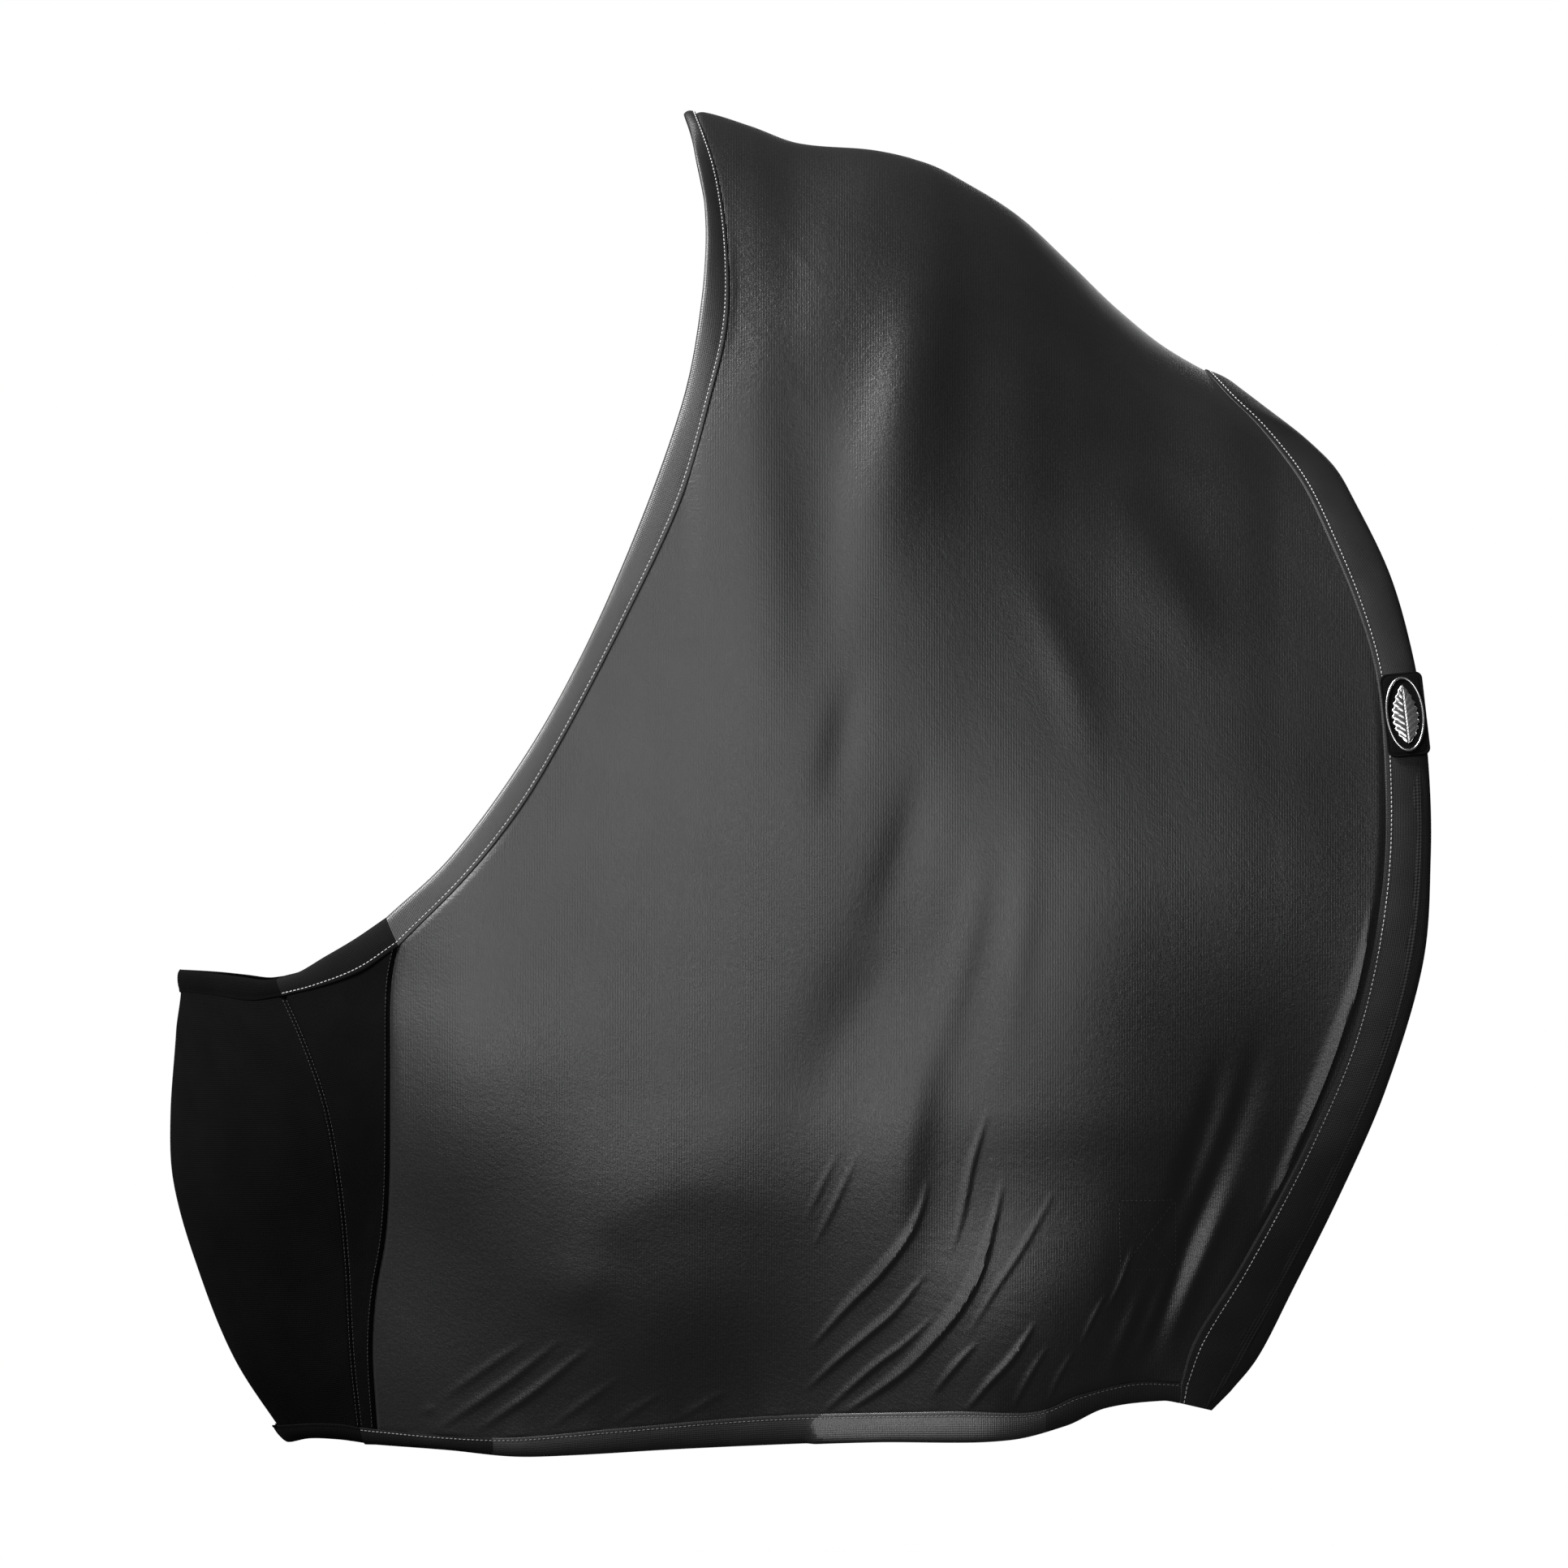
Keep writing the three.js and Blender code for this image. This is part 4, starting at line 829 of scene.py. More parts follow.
def back_lines():
    t = even(CURVES["backStitch"].length)
    body = surface_lines(CURVES["backStitch"](t), CURVES["backEdge"](t))
    corner = surface_lines(np.array([BACK_CORNER["stitch"]], float), np.array([BACK_CORNER["edge"]], float))
    return join(body, corner)


def bottom_lines():
    g = np.linspace(0, 1, 10)[:-1, None]
    gusset = surface_lines(np.array([-417.7, -877.0]) * (1 - g) + np.array([-407.3, -878.0]) * g,
                           np.array([-414.5, -888.0]) * (1 - g) + np.array([-407.0, -888.0]) * g)
    t = even(CURVES["bottomStitch"].length)[:-4]
    stitch = CURVES["bottomStitch"](t)
    hem = np.stack([stitch[:, 0], through(OUTLINES["bottomEdge"], stitch[:, 0])], -1)
    return join(gusset, surface_lines(stitch, hem))


# -------------------------------------------------------------------------------------------------- thread
STITCH_STAGES = [  # place along the stitch, girth and height, each as a share
    (-0.5, 0.25, -1.0), (-0.42, 0.85, 0.1), (-0.15, 1.0, 0.75), (0.15, 1.0, 0.75), (0.42, 0.85, 0.1),
    (0.5, 0.25, -1.0),
]


def stitch_row(name, line, finish, pitch=STITCH_PITCH, length=2.35, radius=0.34, lift=0.0, sink=0.12):
    """Row of lockstitches along (points, normals): short bent bars that dip into the cloth at both ends."""
    points, normals = line
    run = np.concatenate([[0], np.cumsum(np.linalg.norm(np.diff(points, axis=0), axis=1))])
    count = int(run[-1] / pitch)
    centre = (np.arange(count) + 0.5) * run[-1] / count

    def at(values, where):
        return np.stack([np.interp(where, run, column) for column in values.T], -1)
    sides = 6
    angle = np.linspace(0, 2 * np.pi, sides, endpoint=False)
    rings = []
    for along, girth, height in STITCH_STAGES:
        where = centre + along * length
        p, n = at(points, where), unit(at(normals, where))
        forward = unit(at(points, where + 0.4) - at(points, where - 0.4))
        side = unit(np.cross(forward, n))
        middle = p + n * (lift - sink + radius * height)
        rings.append(middle[:, None] + radius * girth * (np.cos(angle)[None, :, None] * side[:, None]
                                                         + np.sin(angle)[None, :, None] * n[:, None]))
    rings = np.stack(rings, 1)  # stitch, ring, side
    per = len(STITCH_STAGES) * sides
    k = np.arange(sides)
    beside = (k + 1) % sides
    quads = np.concatenate([
        np.stack([r * sides + k, (r + 1) * sides + k, (r + 1) * sides + beside, r * sides + beside], 1)
        for r in range(len(STITCH_STAGES) - 1)])
    base = (np.arange(count) * per)[:, None, None]
    caps = np.stack([k[::-1], k + per - sides])
    faces = [(base + quads).reshape(-1, 4), (base + caps).reshape(-1, sides)]
    return object_from(name, rings.reshape(-1, 3), faces, [finish], sharp=80)


# ------------------------------------------------------------------------- small sheets, webbing, hardware
def inside_patch(name, x0, x1, z0, z1, drop, thickness, finish, side=-1):
    """Small sheet sewn inside a panel, cut square in the side view."""
    x, z = np.meshgrid(np.linspace(x0, x1, 41), np.linspace(z0, z1, 41))
    points, normals = on_horse(np.stack([x, z], -1))
    edge = np.minimum(np.minimum(x - x0, x1 - x), np.minimum(z - z0, z1 - z))
    dimple = 0.12 * np.sin(x / 3.1) * np.sin(z / 4.3)
    points = points - normals * (drop - 0.3 * ease(0, 2.5, edge) + dimple)[..., None]
    if side > 0:
        points, normals = flip_y(points)[:, ::-1], flip_y(normals)[:, ::-1]
    return cloth(name, points, normals, thickness, finish, finish)


def crest_tape():
    """Tape inside the crest, over the seam of the two shoulder panels."""
    x = np.linspace(-150, 145, 241)
    half = 11.0
    across_ = np.linspace(-half, half, 21)
    ridge = through(RIDGE, x)
    slope = np.gradient(ridge, x)
    up = unit(np.stack([-slope, 0 * x, 1 + 0 * x], -1))
    points, normals = [], []
    for y in across_:
        sag = y * y / 40 + 5.4 + 0.2 * np.cos(x / 3.3)
        points.append(np.stack([x, 0 * x + y, ridge], -1) - up * sag[:, None])
        normals.append(unit(up + np.array([0, y / 20, 0])))
    return cloth("crest_tape", np.stack(points, 1), np.stack(normals, 1), 0.9, BAND, BAND)


def elastic_strip(name, lines, flip):
    """Elastic inside the rear casing, ribbed along its length."""
    pair = mirrored(lines) if flip else lines
    rows = [across(pair[0], pair[1], share) for share in np.linspace(0.36, 0.76, 9)]
    points = np.stack([p - n * 0.35 for p, n in rows], 1)
    normals = np.stack([n for _, n in rows], 1)
    odd = len(points) - 1 + len(points) % 2
    points, normals = points[:odd], normals[:odd]
    if flip:
        points, normals = points[:, ::-1], normals[:, ::-1]
    return cloth(name, points, normals, 1.0, ELASTIC, ELASTIC)


def webbing(name, path, width, thickness, finish, ribs):
    """Woven band of the given width in X along [Y, Z] points, ribbed lengthwise, with soft edges."""
    line = Line(path, 30)
    count = max(12, int(line.length / 1.4))
    middle = line(np.linspace(0, 1, count + 1))
    run = unit(np.gradient(middle, axis=0))
    normal = np.stack([-run[:, 1], run[:, 0]], -1)
    across_ = np.linspace(-1, 1, 6 * ribs + 1)
    rounding = np.sqrt(np.maximum(0, 1 - np.abs(across_) ** 14))
    rib = 0.1 * np.cos(2 * np.pi * ribs * (across_ + 1) / 2)
    half = rounding * (thickness / 2 - 0.1) + rib * rounding
    profile = np.concatenate([np.stack([across_, half], 1), np.stack([across_, -half], 1)[-2:0:-1]])
    weft = 0.05 * np.cos(np.pi * np.arange(count + 1))
    height = profile[None, :, 1] + weft[:, None] * np.sign(profile[None, :, 1])
    x = np.broadcast_to(STRAP_X + profile[None, :, 0] * width / 2, height.shape)
    yz = middle[:, None] + normal[:, None] * height[..., None]
    rings = np.concatenate([x[..., None], yz], -1)
    in_mm = profile * [width / 2, 1]
    girth = np.cumsum(np.hypot(*np.diff(in_mm, axis=0, prepend=in_mm[:1]).T))
    length = np.linspace(0, line.length, count + 1)
    uv = np.stack(np.broadcast_arrays(girth[None], length[:, None]), -1).reshape(-1, 2)
    return swept(name, rings, [finish], uv=uv, sharp=70)


def arc(cy, cz, r, start, end, steps):
    a = np.radians(np.linspace(start, end, steps + 1))
    return np.stack([cy + r * np.cos(a), cz + r * np.sin(a)], -1)


# Places on the snap's axis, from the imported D-ring: "along" runs from the hook's tip to the strap
RING_Z = SNAP_Z + HOOK_BEND
RING_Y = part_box("d_ring")[0].y / MM + RING_WIRE
HOOK_AT = RING_Y + RING_L + HOOK_SLACK
LOOP_R = RING_WIRE + PLY_GAP + TAB_T / 2
STRAP_T = 2.0
STRAP_LOOP_R = EYE_WIRE + PLY_GAP + STRAP_T / 2
TAB_TOP = SNAP_Z + 58


def patch_face(z):
    points, normals = on_horse(np.array([[STRAP_X + STRAP_W / 2, z]], float))
    return float((points - normals * (PATCH_DROP + PLY_T + 2 * PLY_GAP))[0, 1])


def girth_tab():
    top = [patch_face(TAB_TOP) + TAB_T / 2, TAB_TOP]
    inner = RING_Y - LOOP_R + TAB_T
    path = [top, [RING_Y - LOOP_R, RING_Z + 6], *arc(RING_Y, RING_Z, LOOP_R, 180, 375, 10),
            [inner + PLY_GAP + 1.2, RING_Z + 6.5], [inner + 1.0, RING_Z + 16]]
    return webbing("girth_loop", path, TAB_W, TAB_T - 0.1, WEBBING, 9)


def strap_path():
    eye = HOOK_AT + EYE_TO
    bend = 9
    far = lambda z: -patch_face(z) - STRAP_T / 2
    turn = arc(far(SNAP_Z + 14) - bend, SNAP_Z + STRAP_LOOP_R + bend, bend, 0, -90, 5)
    return [[far(TAB_TOP), TAB_TOP], [far(SNAP_Z + 30), SNAP_Z + 30], *turn, [0, SNAP_Z + STRAP_LOOP_R],
            *arc(eye, SNAP_Z, STRAP_LOOP_R, 90, 270, 10), [eye + TAIL_L / 2, SNAP_Z - STRAP_LOOP_R],
            [eye + TAIL_L, SNAP_Z - STRAP_LOOP_R]]


def wire_loop(name, half, radius, finish, z, count=144):
    """Closed wire, mirrored about the strap's middle, from [X, Y] points of one half."""
    points = [(STRAP_X + x, y) for x, y in half] + [(STRAP_X - x, y) for x, y in half[::-1] if x]
    line = Line(points * 3, 20)
    third = len(line.points) // 3
    loop = Line(line.points[third:2 * third + 1], 2)(np.linspace(0, 1, count + 1)[:-1])
    return tube(name, np.column_stack([loop, np.full(len(loop), float(z))]), radius, finish, 16, closed=True)


def d_ring():
    half = [(0, 0), (7, 0), (RING_W - 3, 0), (RING_W, 2.5), (RING_W, 10), (RING_W - 4.5, RING_L - 6),
            (6, RING_L)]
    return wire_loop("ring", [(x, RING_Y + y) for x, y in half], RING_WIRE, STEEL, RING_Z)


def turned(name, profile, finish, axis="Y", at=0.0, segments=40):
    """Turned piece from [along, radius] points, on the snap's own axis or on the thumb knob's."""
    a = np.linspace(0, 2 * np.pi, segments, endpoint=False)
    along, radius = np.array(profile, float).T
    c, s = radius[:, None] * np.cos(a), radius[:, None] * np.sin(a)
    along = np.broadcast_to(along[:, None], c.shape)
    if axis == "Y":
        rings = np.stack([STRAP_X + c, HOOK_AT + along, SNAP_Z + s], -1)
    else:
        rings = np.stack([STRAP_X + c, HOOK_AT + at + s, SNAP_Z + along], -1)
    return swept(name, rings, [finish], sharp=35)


def combined(a, b, operation="UNION"):
    """a with b joined or cut away, as one mesh."""
    modifier = a.modifiers.new("with", "BOOLEAN")
    modifier.operation, modifier.solver, modifier.object = operation, "EXACT", b
    bpy.context.view_layer.update()
    mesh = bpy.data.meshes.new_from_object(a.evaluated_get(bpy.context.evaluated_depsgraph_get()))
    a.modifiers.clear()
    a.data = mesh
    bpy.data.objects.remove(b)
    mesh.shade_smooth()
    mesh.set_sharp_from_angle(angle=math.radians(35))
    return a


def box_cutter(low, high):
    corners = np.array(list(itertools.product(*zip(low, high))))
    faces = np.array([[0, 1, 3, 2], [4, 6, 7, 5], [0, 4, 5, 1], [2, 3, 7, 6], [0, 2, 6, 4], [1, 5, 7, 3]])
    return object_from("cutter", corners, [faces], [STEEL])


def snap_body():
    barrel = [(16, 0.05), (16, 5.2), (16.4, 6.1), (17.3, 6.5), (20, 6.5), (20.4, 6.1), (21.2, 6.1),
              (21.6, 6.5), (43.4, 6.5), (43.8, 6.1), (44.6, 6.1), (45, 6.5), (46.8, 6.5), (47.6, 6.1),
              (48, 5.3), (48, 0.05)]
    barrel = turned("snap", barrel, STEEL, segments=48)
    bend = arc(-3, HOOK_BEND, HOOK_BEND, 268, 90, 12)
    arm = [[8, 2 * HOOK_BEND], [19, 2 * HOOK_BEND - 1], [27, 13], [30, 4.5]]
    line = Line([*bend, *arm], 16)(np.linspace(0, 1, 90))
    path = np.column_stack([np.full(90, float(STRAP_X)), HOOK_AT + line[:, 0], SNAP_Z + line[:, 1]])
    radius = 3.0 * np.sqrt(np.clip(1 - (1 - np.linspace(0, 24, 90).clip(0, 1)) ** 2, 0.04, 1))
    body = combined(barrel, tube("hook", path, radius, STEEL, 18))
    bore = turned("bore", [(14, 0.05), (14, 2.7), (44, 2.7), (44, 0.05)], STEEL, segments=32)
    post = turned("post", [(43, 0.05), (43, 2.2), (50, 2.2), (50, 0.05)], STEEL, segments=32)
    slot = box_cutter((STRAP_X - 2, HOOK_AT + 20.5, SNAP_Z - 8.5), (STRAP_X + 2, HOOK_AT + 35.5, SNAP_Z))
    for cutter in (bore, post, slot):
        body = combined(body, cutter, "DIFFERENCE")
    return body


def snap_bolt():
    pin = [(-2.3, 0.05), (-2.3, 1.5), (-1.8, 2.1), (-1.2, 2.3), (29.6, 2.3), (30, 1.9), (30, 0.05)]
    knob = [(-12, 0.05), (-12, 2.2), (-11.7, 2.8), (-11, 3.2), (-10.6, 3.0), (-10.2, 3.2), (-9.8, 3.0),
            (-9.4, 3.2), (-8.8, 2.6), (-8.2, 1.6), (-7.6, 1.5), (-1, 1.5), (-1, 0.05)]
    return combined(turned("bolt", pin, STEEL, segments=32), turned("knob", knob, STEEL, "Z", 24, 32))


def bolt_spring():
    t = np.linspace(0, 1, 241)
    a = t * 5 * 2 * np.pi
    along = HOOK_AT + SPRING_AT + SPRING_L * t
    path = np.stack([STRAP_X + 1.9 * np.cos(a), along, SNAP_Z + 1.9 * np.sin(a)], -1)
    return tube("spring", path, 0.34, STEEL, 8)


def swivel_eye():
    x, corner = STRAP_W / 2 + EYE_WIRE + 0.8, 2.5
    half = [(x - corner, 53), (x, 53 + corner), (x, EYE_TO - corner), (x - corner, EYE_TO), (8, EYE_TO)]
    eye = wire_loop("eye", [(dx, HOOK_AT + y) for dx, y in half], EYE_WIRE, STEEL, SNAP_Z, 160)
    post = [(42.4, 0.05), (42.4, 2.3), (43.6, 2.3), (43.6, 1.9), (48.4, 1.9), (48.4, 4.2), (48.8, 4.6),
            (51, 4.6), (51.5, 4.2), (53, 2.6), (53, 0.05)]
    return combined(eye, turned("swivel", post, STEEL, segments=32))


# ----------------------------------------------------------------------------------------------- the badge
def badge_frame():
    """Origin and axes (side, up, out) of the badge on the near rear casing."""
    def middle(t):
        t = np.array([t])
        return across(on_horse(CURVES["backStitch"](t)), on_horse(CURVES["backEdge"](t)), 0.5)
    centre, normal = (v[0] for v in middle(BADGE_AT))
    up = unit(middle(BADGE_AT - 0.02)[0][0] - middle(BADGE_AT + 0.02)[0][0])
    out = unit(normal - up * (normal @ up))
    return centre + out * 2.8, np.stack([np.cross(up, out), up, out])


def laid_rings(profile, outline):
    """Rings on the badge's plane from (inset, height) points; outline(inset) gives [k, 2] points."""
    origin, axes = badge_frame()
    return np.stack([origin + np.column_stack([outline(inset), np.full(len(outline(inset)), height)]) @ axes
                     for inset, height in profile])


def oval_outline(half_w, half_h):
    a = np.linspace(0, 2 * np.pi, 120, endpoint=False)
    return lambda inset: np.column_stack([(half_w - inset) * np.cos(a), (half_h - inset) * np.sin(a)])


def rounded_outline(half_w, half_h, corner, per=10):
    """Rounded rectangle, drawn in towards its middle as the inset grows."""
    def outline(inset):
        w, h = max(half_w - inset, 0.05), max(half_h - inset, 0.05)
        r = min(corner, w, h) * 0.999
        turns = [np.linspace(q, q + 90, per) for q in (0, 90, 180, 270)]
        centres = [(w - r, h - r), (r - w, h - r), (r - w, r - h), (w - r, r - h)]
        return np.vstack([np.column_stack([cx + r * np.cos(np.radians(t)), cy + r * np.sin(np.radians(t))])
                          for (cx, cy), t in zip(centres, turns)])
    return outline


def badge():
    pad = [(14.7, 0.0), (1.0, 0.0), (0.3, 0.15), (0, 0.45), (0.3, 0.8), (0.9, 0.95), (1.4, 0.7), (1.8, 0.7),
           (2.3, 0.95), (4, 1.0), (14.7, 1.02)]
    wire = [(0, 1.1), (0.08, 1.7), (0.45, 2.25), (1.0, 2.45), (1.55, 2.25), (1.92, 1.7), (2.0, 1.1)]
    patch = swept("badge_cloth", laid_rings(pad, rounded_outline(*BADGE_HALF, 5)), [PATCH], sharp=60)
    rings = laid_rings(wire, oval_outline(*RIM_HALF)).transpose(1, 0, 2)
    return patch, swept("badge_ring", rings, [BADGE_METAL], closed=True, sharp=60), leaf()


def leaf():
    """Raised leaf with a midrib and side veins, a plain device of no maker."""
    origin, axes = badge_frame()
    v = np.linspace(0, 1, 121)
    u = np.linspace(-1, 1, 61)
    width = 8.4 * np.sin(np.pi * v ** 0.85) ** 0.8 + 0.35
    notch = np.sin(2 * np.pi * 9 * v)
    width *= 1 + 0.07 * np.sign(notch) * np.abs(notch) ** 0.5
    y = -21 + 42 * v
    x = u[None, :] * width[:, None]
    vein = np.cos(2 * np.pi * (9 * v[:, None] - 1.4 * np.abs(u[None, :])))
    height = 1.25 + 0.9 * np.sqrt(np.maximum(0, 1 - u[None, :] ** 2)) + 0.13 * vein * (1 - u[None, :] ** 2)
    height = height - 0.5 * np.exp(-(x / 0.5) ** 2)
    local = np.stack([x, np.broadcast_to(y[:, None], x.shape), height], -1)
    points = origin + local @ axes
    out = np.broadcast_to(axes[2], points.shape)
    return cloth("leaf", points[:, ::-1], out[:, ::-1], 0.9, BADGE_METAL, BADGE_METAL)


# ------------------------------------------------------------------------------------------- making it all
def ride(obj, body, node=None):
    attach(obj, body)
    if node:
        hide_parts(*([node] if isinstance(node, str) else node))
    return obj


def declare(sheets):
    """Each sheet as cut: width, length, area (m, m2), how it is held, what it lies on and carries. Only the
    carried pieces are looked up; the sheets are not declared anywhere.
    """
    for name, width, length, area, held, rests_on, carries in sheets:
        pieces = [bpy.data.objects[piece] for piece in carries]
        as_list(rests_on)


def pair_of_sheets(name, width, length, area, held, rests_on, carries=()):
    return [(side + name, width, length, area, held, [side + other for other in rests_on],
             [side + other for other in carries]) for side in ("near_", "off_")]


def pair_of_bands(name, lines, finish, node, **looks):
    near = ride(band(f"near_{name}", *lines, finish, **looks), "garment", f"near_{node}")
    off = ride(band(f"off_{name}", *mirrored(lines), finish, **looks), "garment", f"off_{node}")
    return near, off


def refinish(obj, finish, where):
    """Give part of a piece another finish; where(x, z) tells it by a face's middle in mm."""
    obj.data.materials.append(finish)
    for face in obj.data.polygons:
        if where(face.center.x / MM, face.center.z / MM):
            face.material_index = len(obj.data.materials) - 1


def hem_lean(mid):
    """The hem's lower edge is pushed out over the elbow, so that its face looks up a little."""
    return 5.0 * ease(-108, -98, mid[:, 0]) * ease(75, 10, mid[:, 0])


def neck_lean(mid):
    """The top of the neck band rolls out at its edge, and looks to the rear."""
    return 5.0 * ease(-235, -60, mid[:, 2]) * ease(40, 5, mid[:, 2])


def back_lean(mid):
    """Below the badge the rear casing's edge tucks in round the ribs."""
    return -3.0 * ease(-340, -440, mid[:, 2])


def pair_of_rows(name, line, finish, **facts):
    flipped = (flip_y(line[0]), flip_y(line[1]))
    return (ride(stitch_row(f"near_{name}", line, finish, **facts), "garment"),
            ride(stitch_row(f"off_{name}", flipped, finish, **facts), "garment"))


def seam_row(seam, offset):
    """Line for the stitches beside a seam, offset to its rear in mm."""
    t = even(CURVES[seam].length)[4:-2]
    return on_horse(CURVES[seam](t) + [offset, 0])


def box_stitches(side):
    """Stitch lines of a girth patch, seen from outside: a box and its two diagonals, through the satin."""
    x0, x1, z0, z1 = STRAP_X - 20, STRAP_X + 20, SNAP_Z + 16, SNAP_Z + 64
    corners = [(x0, z0), (x1, z0), (x1, z1), (x0, z1), (x0, z0)]
    runs = list(zip(corners[:-1], corners[1:])) + [((x0, z0), (x1, z1)), ((x0, z1), (x1, z0))]
    for a, b in np.array(runs, float):
        flat = a + np.linspace(0.03, 0.97, 60)[:, None] * (b - a)
        points, normals = on_horse(flat)
        points = points + normals * relief(flat)[:, None]
        yield (points, normals) if side < 0 else (flip_y(points), flip_y(normals))


def band_row(lines, share=0.03):
    """Line for the stitches on a band, beside its inner edge."""
    return across(lines[0], lines[1], share)


def bands(neck, back, bottom):
    for obj in pair_of_bands("neck_band", neck, BINDING_AND_HEM_HIGHLIGHT, "neck_binding", gather=0.06, lean=neck_lean):
        refinish(obj, DULL, lambda x, z: 18 * (x + 391) + 8 * (z + 537) < 0)  # ahead of the gusset seam
    pair_of_bands("back_band", back, BAND, "back_casing", puff=1.1, gather=0.16, phase=1.0, lean=back_lean)
    hems = pair_of_bands("bottom_band", bottom, BAND, "bottom_hem", gather=0.08, phase=2.0, lean=hem_lean)
    for obj in hems:
        refinish(obj, DULL, lambda x, z: x < -325)
        # painted highlight: the hem from x -104 to 60 mm takes this lighter, glossier finish where it catches
        # the light over the elbow
        refinish(obj, BINDING_AND_HEM_HIGHLIGHT, lambda x, z: -104 + 0.12 * (z + 873) ** 2 < x < 60)
    for name, node, stitch, edge, step in (
            ("chest_top_band", "chest_neck_binding", "chestNeckStitch", "chestNeckEdge", 0.5),
            ("chest_bottom_band", "chest_bottom_hem", "chestBottomStitch", "chestBottomEdge", 0.4)):
        ride(band(name, *chest_lines(stitch, edge, step), MATTE, gather=0.05), "garment", node)


def threads(neck, back, bottom):
    pair_of_rows("neck_thread", band_row(neck), THREAD, lift=0.85)
    pair_of_rows("back_thread", band_row(back), THREAD, lift=0.9)
    pair_of_rows("bottom_thread", band_row(bottom), GREY_THREAD, lift=0.85)
    for name, seam, offset in (("gusset_seam", "gussetSeam", -2.4), ("chest_seam", "chestSeam", -1.3),
                               ("chest_seam_rear", "chestSeam", 1.3)):
        pair_of_rows(f"{name}_thread", seam_row(seam, offset), DARK_THREAD, pitch=2.8, length=2.2,
                     radius=0.22, lift=0.2)
    for side, sign in SIDES.items():
        for number, line in enumerate(box_stitches(sign)):
            name = f"{side}_patch_thread_{number}"
            ride(stitch_row(name, line, DARK_THREAD, radius=0.25), "garment")


def small_sheets(back):
    for side, sign in SIDES.items():
        ride(elastic_strip(f"{side}_elastic", back, sign > 0), "garment", f"{side}_back_elastic")
    ride(crest_tape(), "garment", "crest_seam_tape")
    for side, sign in SIDES.items():
        patch = inside_patch(f"{side}_patch", STRAP_X - 24, STRAP_X + 24, SNAP_Z + 12, SNAP_Z + 68,
                             PATCH_DROP, PLY_T, BAND, sign)
        ride(patch, "garment", f"{side}_girth_patch")
    ride(inside_patch("label", -20, 15, -250, -195, PATCH_DROP, 0.6, LABEL), "garment", "care_label")


def garment():
    for obj, side in zip(panel_pair("satin", SATIN, *shoulder_surface()), SIDES):
        ride(obj, "garment", f"{side}_shoulder_panel")
    for obj, side in zip(panel_pair("gusset", MATTE, *gusset_surface()), SIDES):
        ride(obj, "garment", f"{side}_chest_gusset")
    ride(chest(), "garment", "chest_panel")
    neck, back, bottom = neck_lines(), back_lines(), bottom_lines()
    bands(neck, back, bottom)
    threads(neck, back, bottom)
    small_sheets(back)


def fittings():
    ride(girth_tab(), "garment", "near_girth_tab")
    strap = webbing("strap", strap_path(), STRAP_W, STRAP_T - 0.1, ELASTIC, 15)
    ride(strap, "garment", "girth_strap")
    ride(swivel_eye(), "garment", "swivel_eye")
    ride(d_ring(), "d_ring", "d_ring")
    ride(snap_body(), "snap", "snap_body")
    spring = ride(bolt_spring(), "snap", "bolt_spring")
    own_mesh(spring)
    ride(snap_bolt(), "snap_bolt", "snap_bolt")
    patch, rim, device = badge()
    ride(patch, "garment", "badge_patch")
    ride(rim, "garment", "badge_rim")
    ride(device, "garment", "badge_emblem")
    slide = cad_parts["adjuster_slide"]
    slide.data.materials.clear()
    slide.data.materials.append(PLASTIC)


def studio():
    camera = bpy.data.cameras.new("camera")
    camera.sensor_width = 36
    camera.lens = camera.sensor_width * -CAMERA_AT[1] / VIEW_WIDTH
    camera.clip_end = 200
    holder = bpy.data.objects.new("camera", camera)
    holder.location = CAMERA_AT
    holder.rotation_euler = (math.radians(90), 0, 0)
    bpy.context.scene.collection.objects.link(holder)
    bpy.context.scene.camera = holder
    bpy.context.scene.view_settings.view_transform = "Standard"
    soft_light("key", (-2.13, -5.58, 0.39), 2.5, 119)
    soft_light("crest", (-3.92, -1.24, 4.0), 2.5, 700)
    soft_light("rear", (2.0, 5.5, 1.0), 3.0, 60)
    backdrop()
    floor()


def soft_light(name, location, size, power):
    light = bpy.data.lights.new(name, "AREA")
    light.shape = "DISK"
    light.size = size
    light.energy = power
    holder = bpy.data.objects.new(name, light)
    holder.location = location
    aim = np.array([-0.1, 0, -0.45]) - np.array(location)
    holder.rotation_euler = (math.atan2(math.hypot(aim[0], aim[1]), -aim[2]), 0,
                             math.atan2(aim[1], aim[0]) - math.pi / 2)
    bpy.context.scene.collection.objects.link(holder)


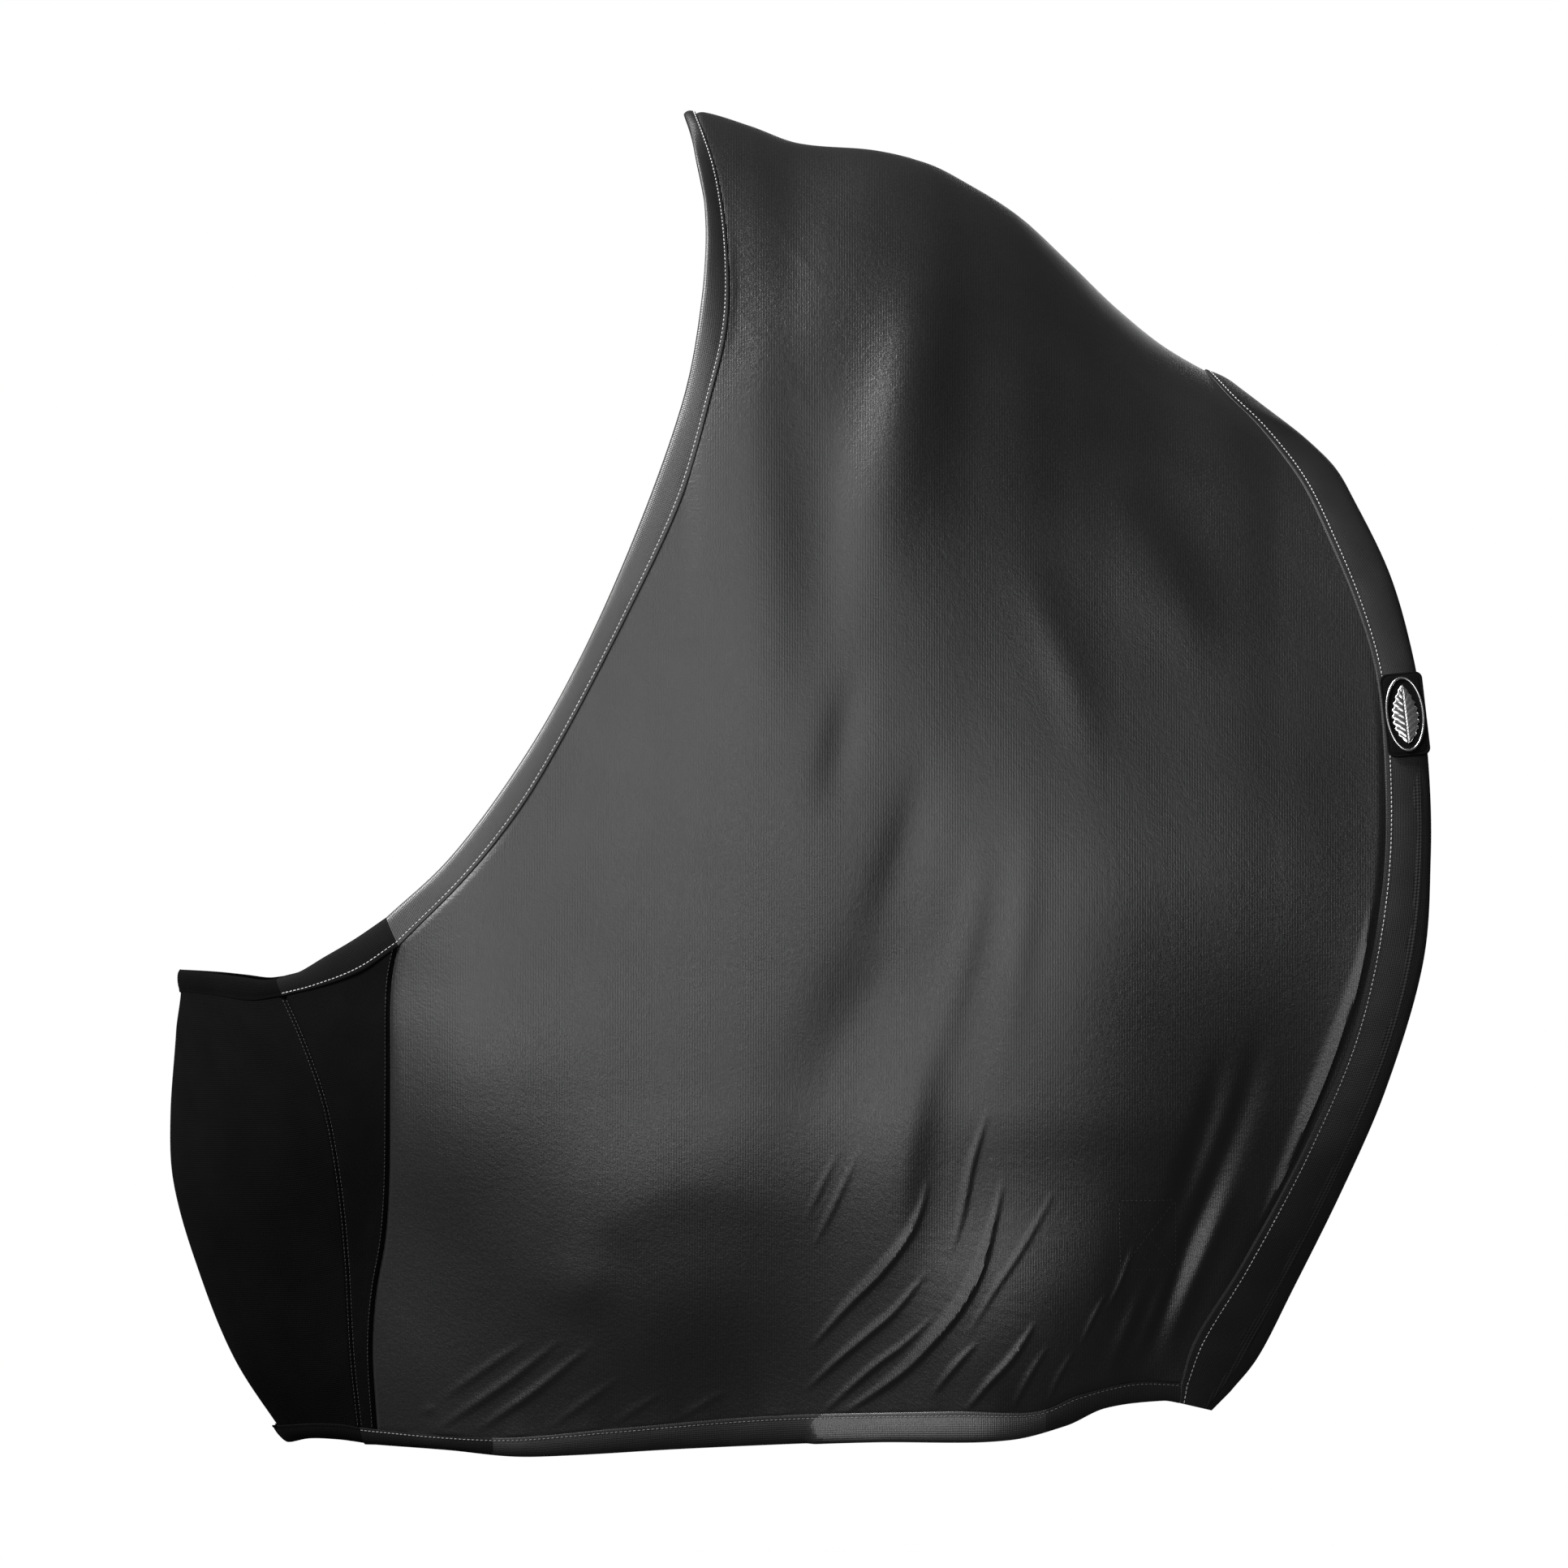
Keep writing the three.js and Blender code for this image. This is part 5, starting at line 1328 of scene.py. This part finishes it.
def backdrop():
    """White studio: bright where it is seen, dimmer as a light, so that black cloth stays black."""
    world = bpy.data.worlds.new("studio")
    bpy.context.scene.world = world
    world.use_nodes = True
    nodes, links = world.node_tree.nodes, world.node_tree.links
    nodes.clear()
    seen, lit, mix = (nodes.new(f"ShaderNode{kind}") for kind in ("Background", "Background", "MixShader"))
    seen.inputs["Color"].default_value = (1, 1, 1, 1)
    seen.inputs["Strength"].default_value = 1.0
    lit.inputs["Color"].default_value = (1, 1, 1, 1)
    lit.inputs["Strength"].default_value = 0.07
    path, out = nodes.new("ShaderNodeLightPath"), nodes.new("ShaderNodeOutputWorld")
    links.new(path.outputs["Is Camera Ray"], mix.inputs["Fac"])
    links.new(lit.outputs[0], mix.inputs[1])
    links.new(seen.outputs[0], mix.inputs[2])
    links.new(mix.outputs[0], out.inputs["Surface"])


def floor():
    mesh = bpy.data.meshes.new("floor")
    a = np.linspace(0, 2 * np.pi, 96, endpoint=False)
    ring = [(-0.12 + 1.0 * math.cos(t), 1.0 * math.sin(t), -1.0) for t in a]
    mesh.from_pydata(ring, [], [list(range(96))])
    mat, _, _, shader = new_material("floor", (0.9, 0.9, 0.9), 0.9, specular=0.1)
    shader.inputs["Emission Color"].default_value = (1, 1, 1, 1)
    shader.inputs["Emission Strength"].default_value = 0.6
    mesh.materials.append(mat)
    obj = bpy.data.objects.new("floor", mesh)
    bpy.context.scene.collection.objects.link(obj)
    obj.visible_glossy = obj.visible_diffuse = False  # it doesn't light the cloth from below


studio()
garment()
fittings()
declare([
    *pair_of_sheets("satin", 0.74, 1.00, 0.48, "stretched", ["neck_band", "back_band", "bottom_band"]),
    *pair_of_sheets("gusset", 0.088, 0.35, 0.0130, "stretched", ["satin"]),
    *pair_of_sheets("neck_band", 0.036, 0.73, None, "folded", ["satin", "gusset"], ["neck_thread"]),
    *pair_of_sheets("back_band", 0.062, 0.82, None, "folded", ["satin"], ["back_thread"]),
    *pair_of_sheets("bottom_band", 0.032, 0.59, None, "folded", ["satin"], ["bottom_thread"]),
    *pair_of_sheets("elastic", 0.013, 0.70, None, "stretched", ["back_band"]),
    *pair_of_sheets("patch", 0.048, 0.056, None, "laid", ["satin"]),
    ("chest_cloth", 0.55, 0.32, 0.105, "stretched", ["near_gusset", "off_gusset"], []),
    ("chest_top_band", 0.030, 0.28, None, "folded", ["chest_cloth"], []),
    ("chest_bottom_band", 0.024, 0.24, None, "folded", ["chest_cloth"], []),
    ("crest_tape", 0.022, 0.35, None, "laid", ["near_satin", "off_satin"], []),
    ("label", 0.035, 0.056, None, "laid", ["near_satin"], []),
    ("girth_loop", 0.026, 0.074, None, "folded", ["near_patch", "ring"], []),
    ("strap", 0.038, 0.40, None, "stretched", ["off_patch", "eye"], []),
])
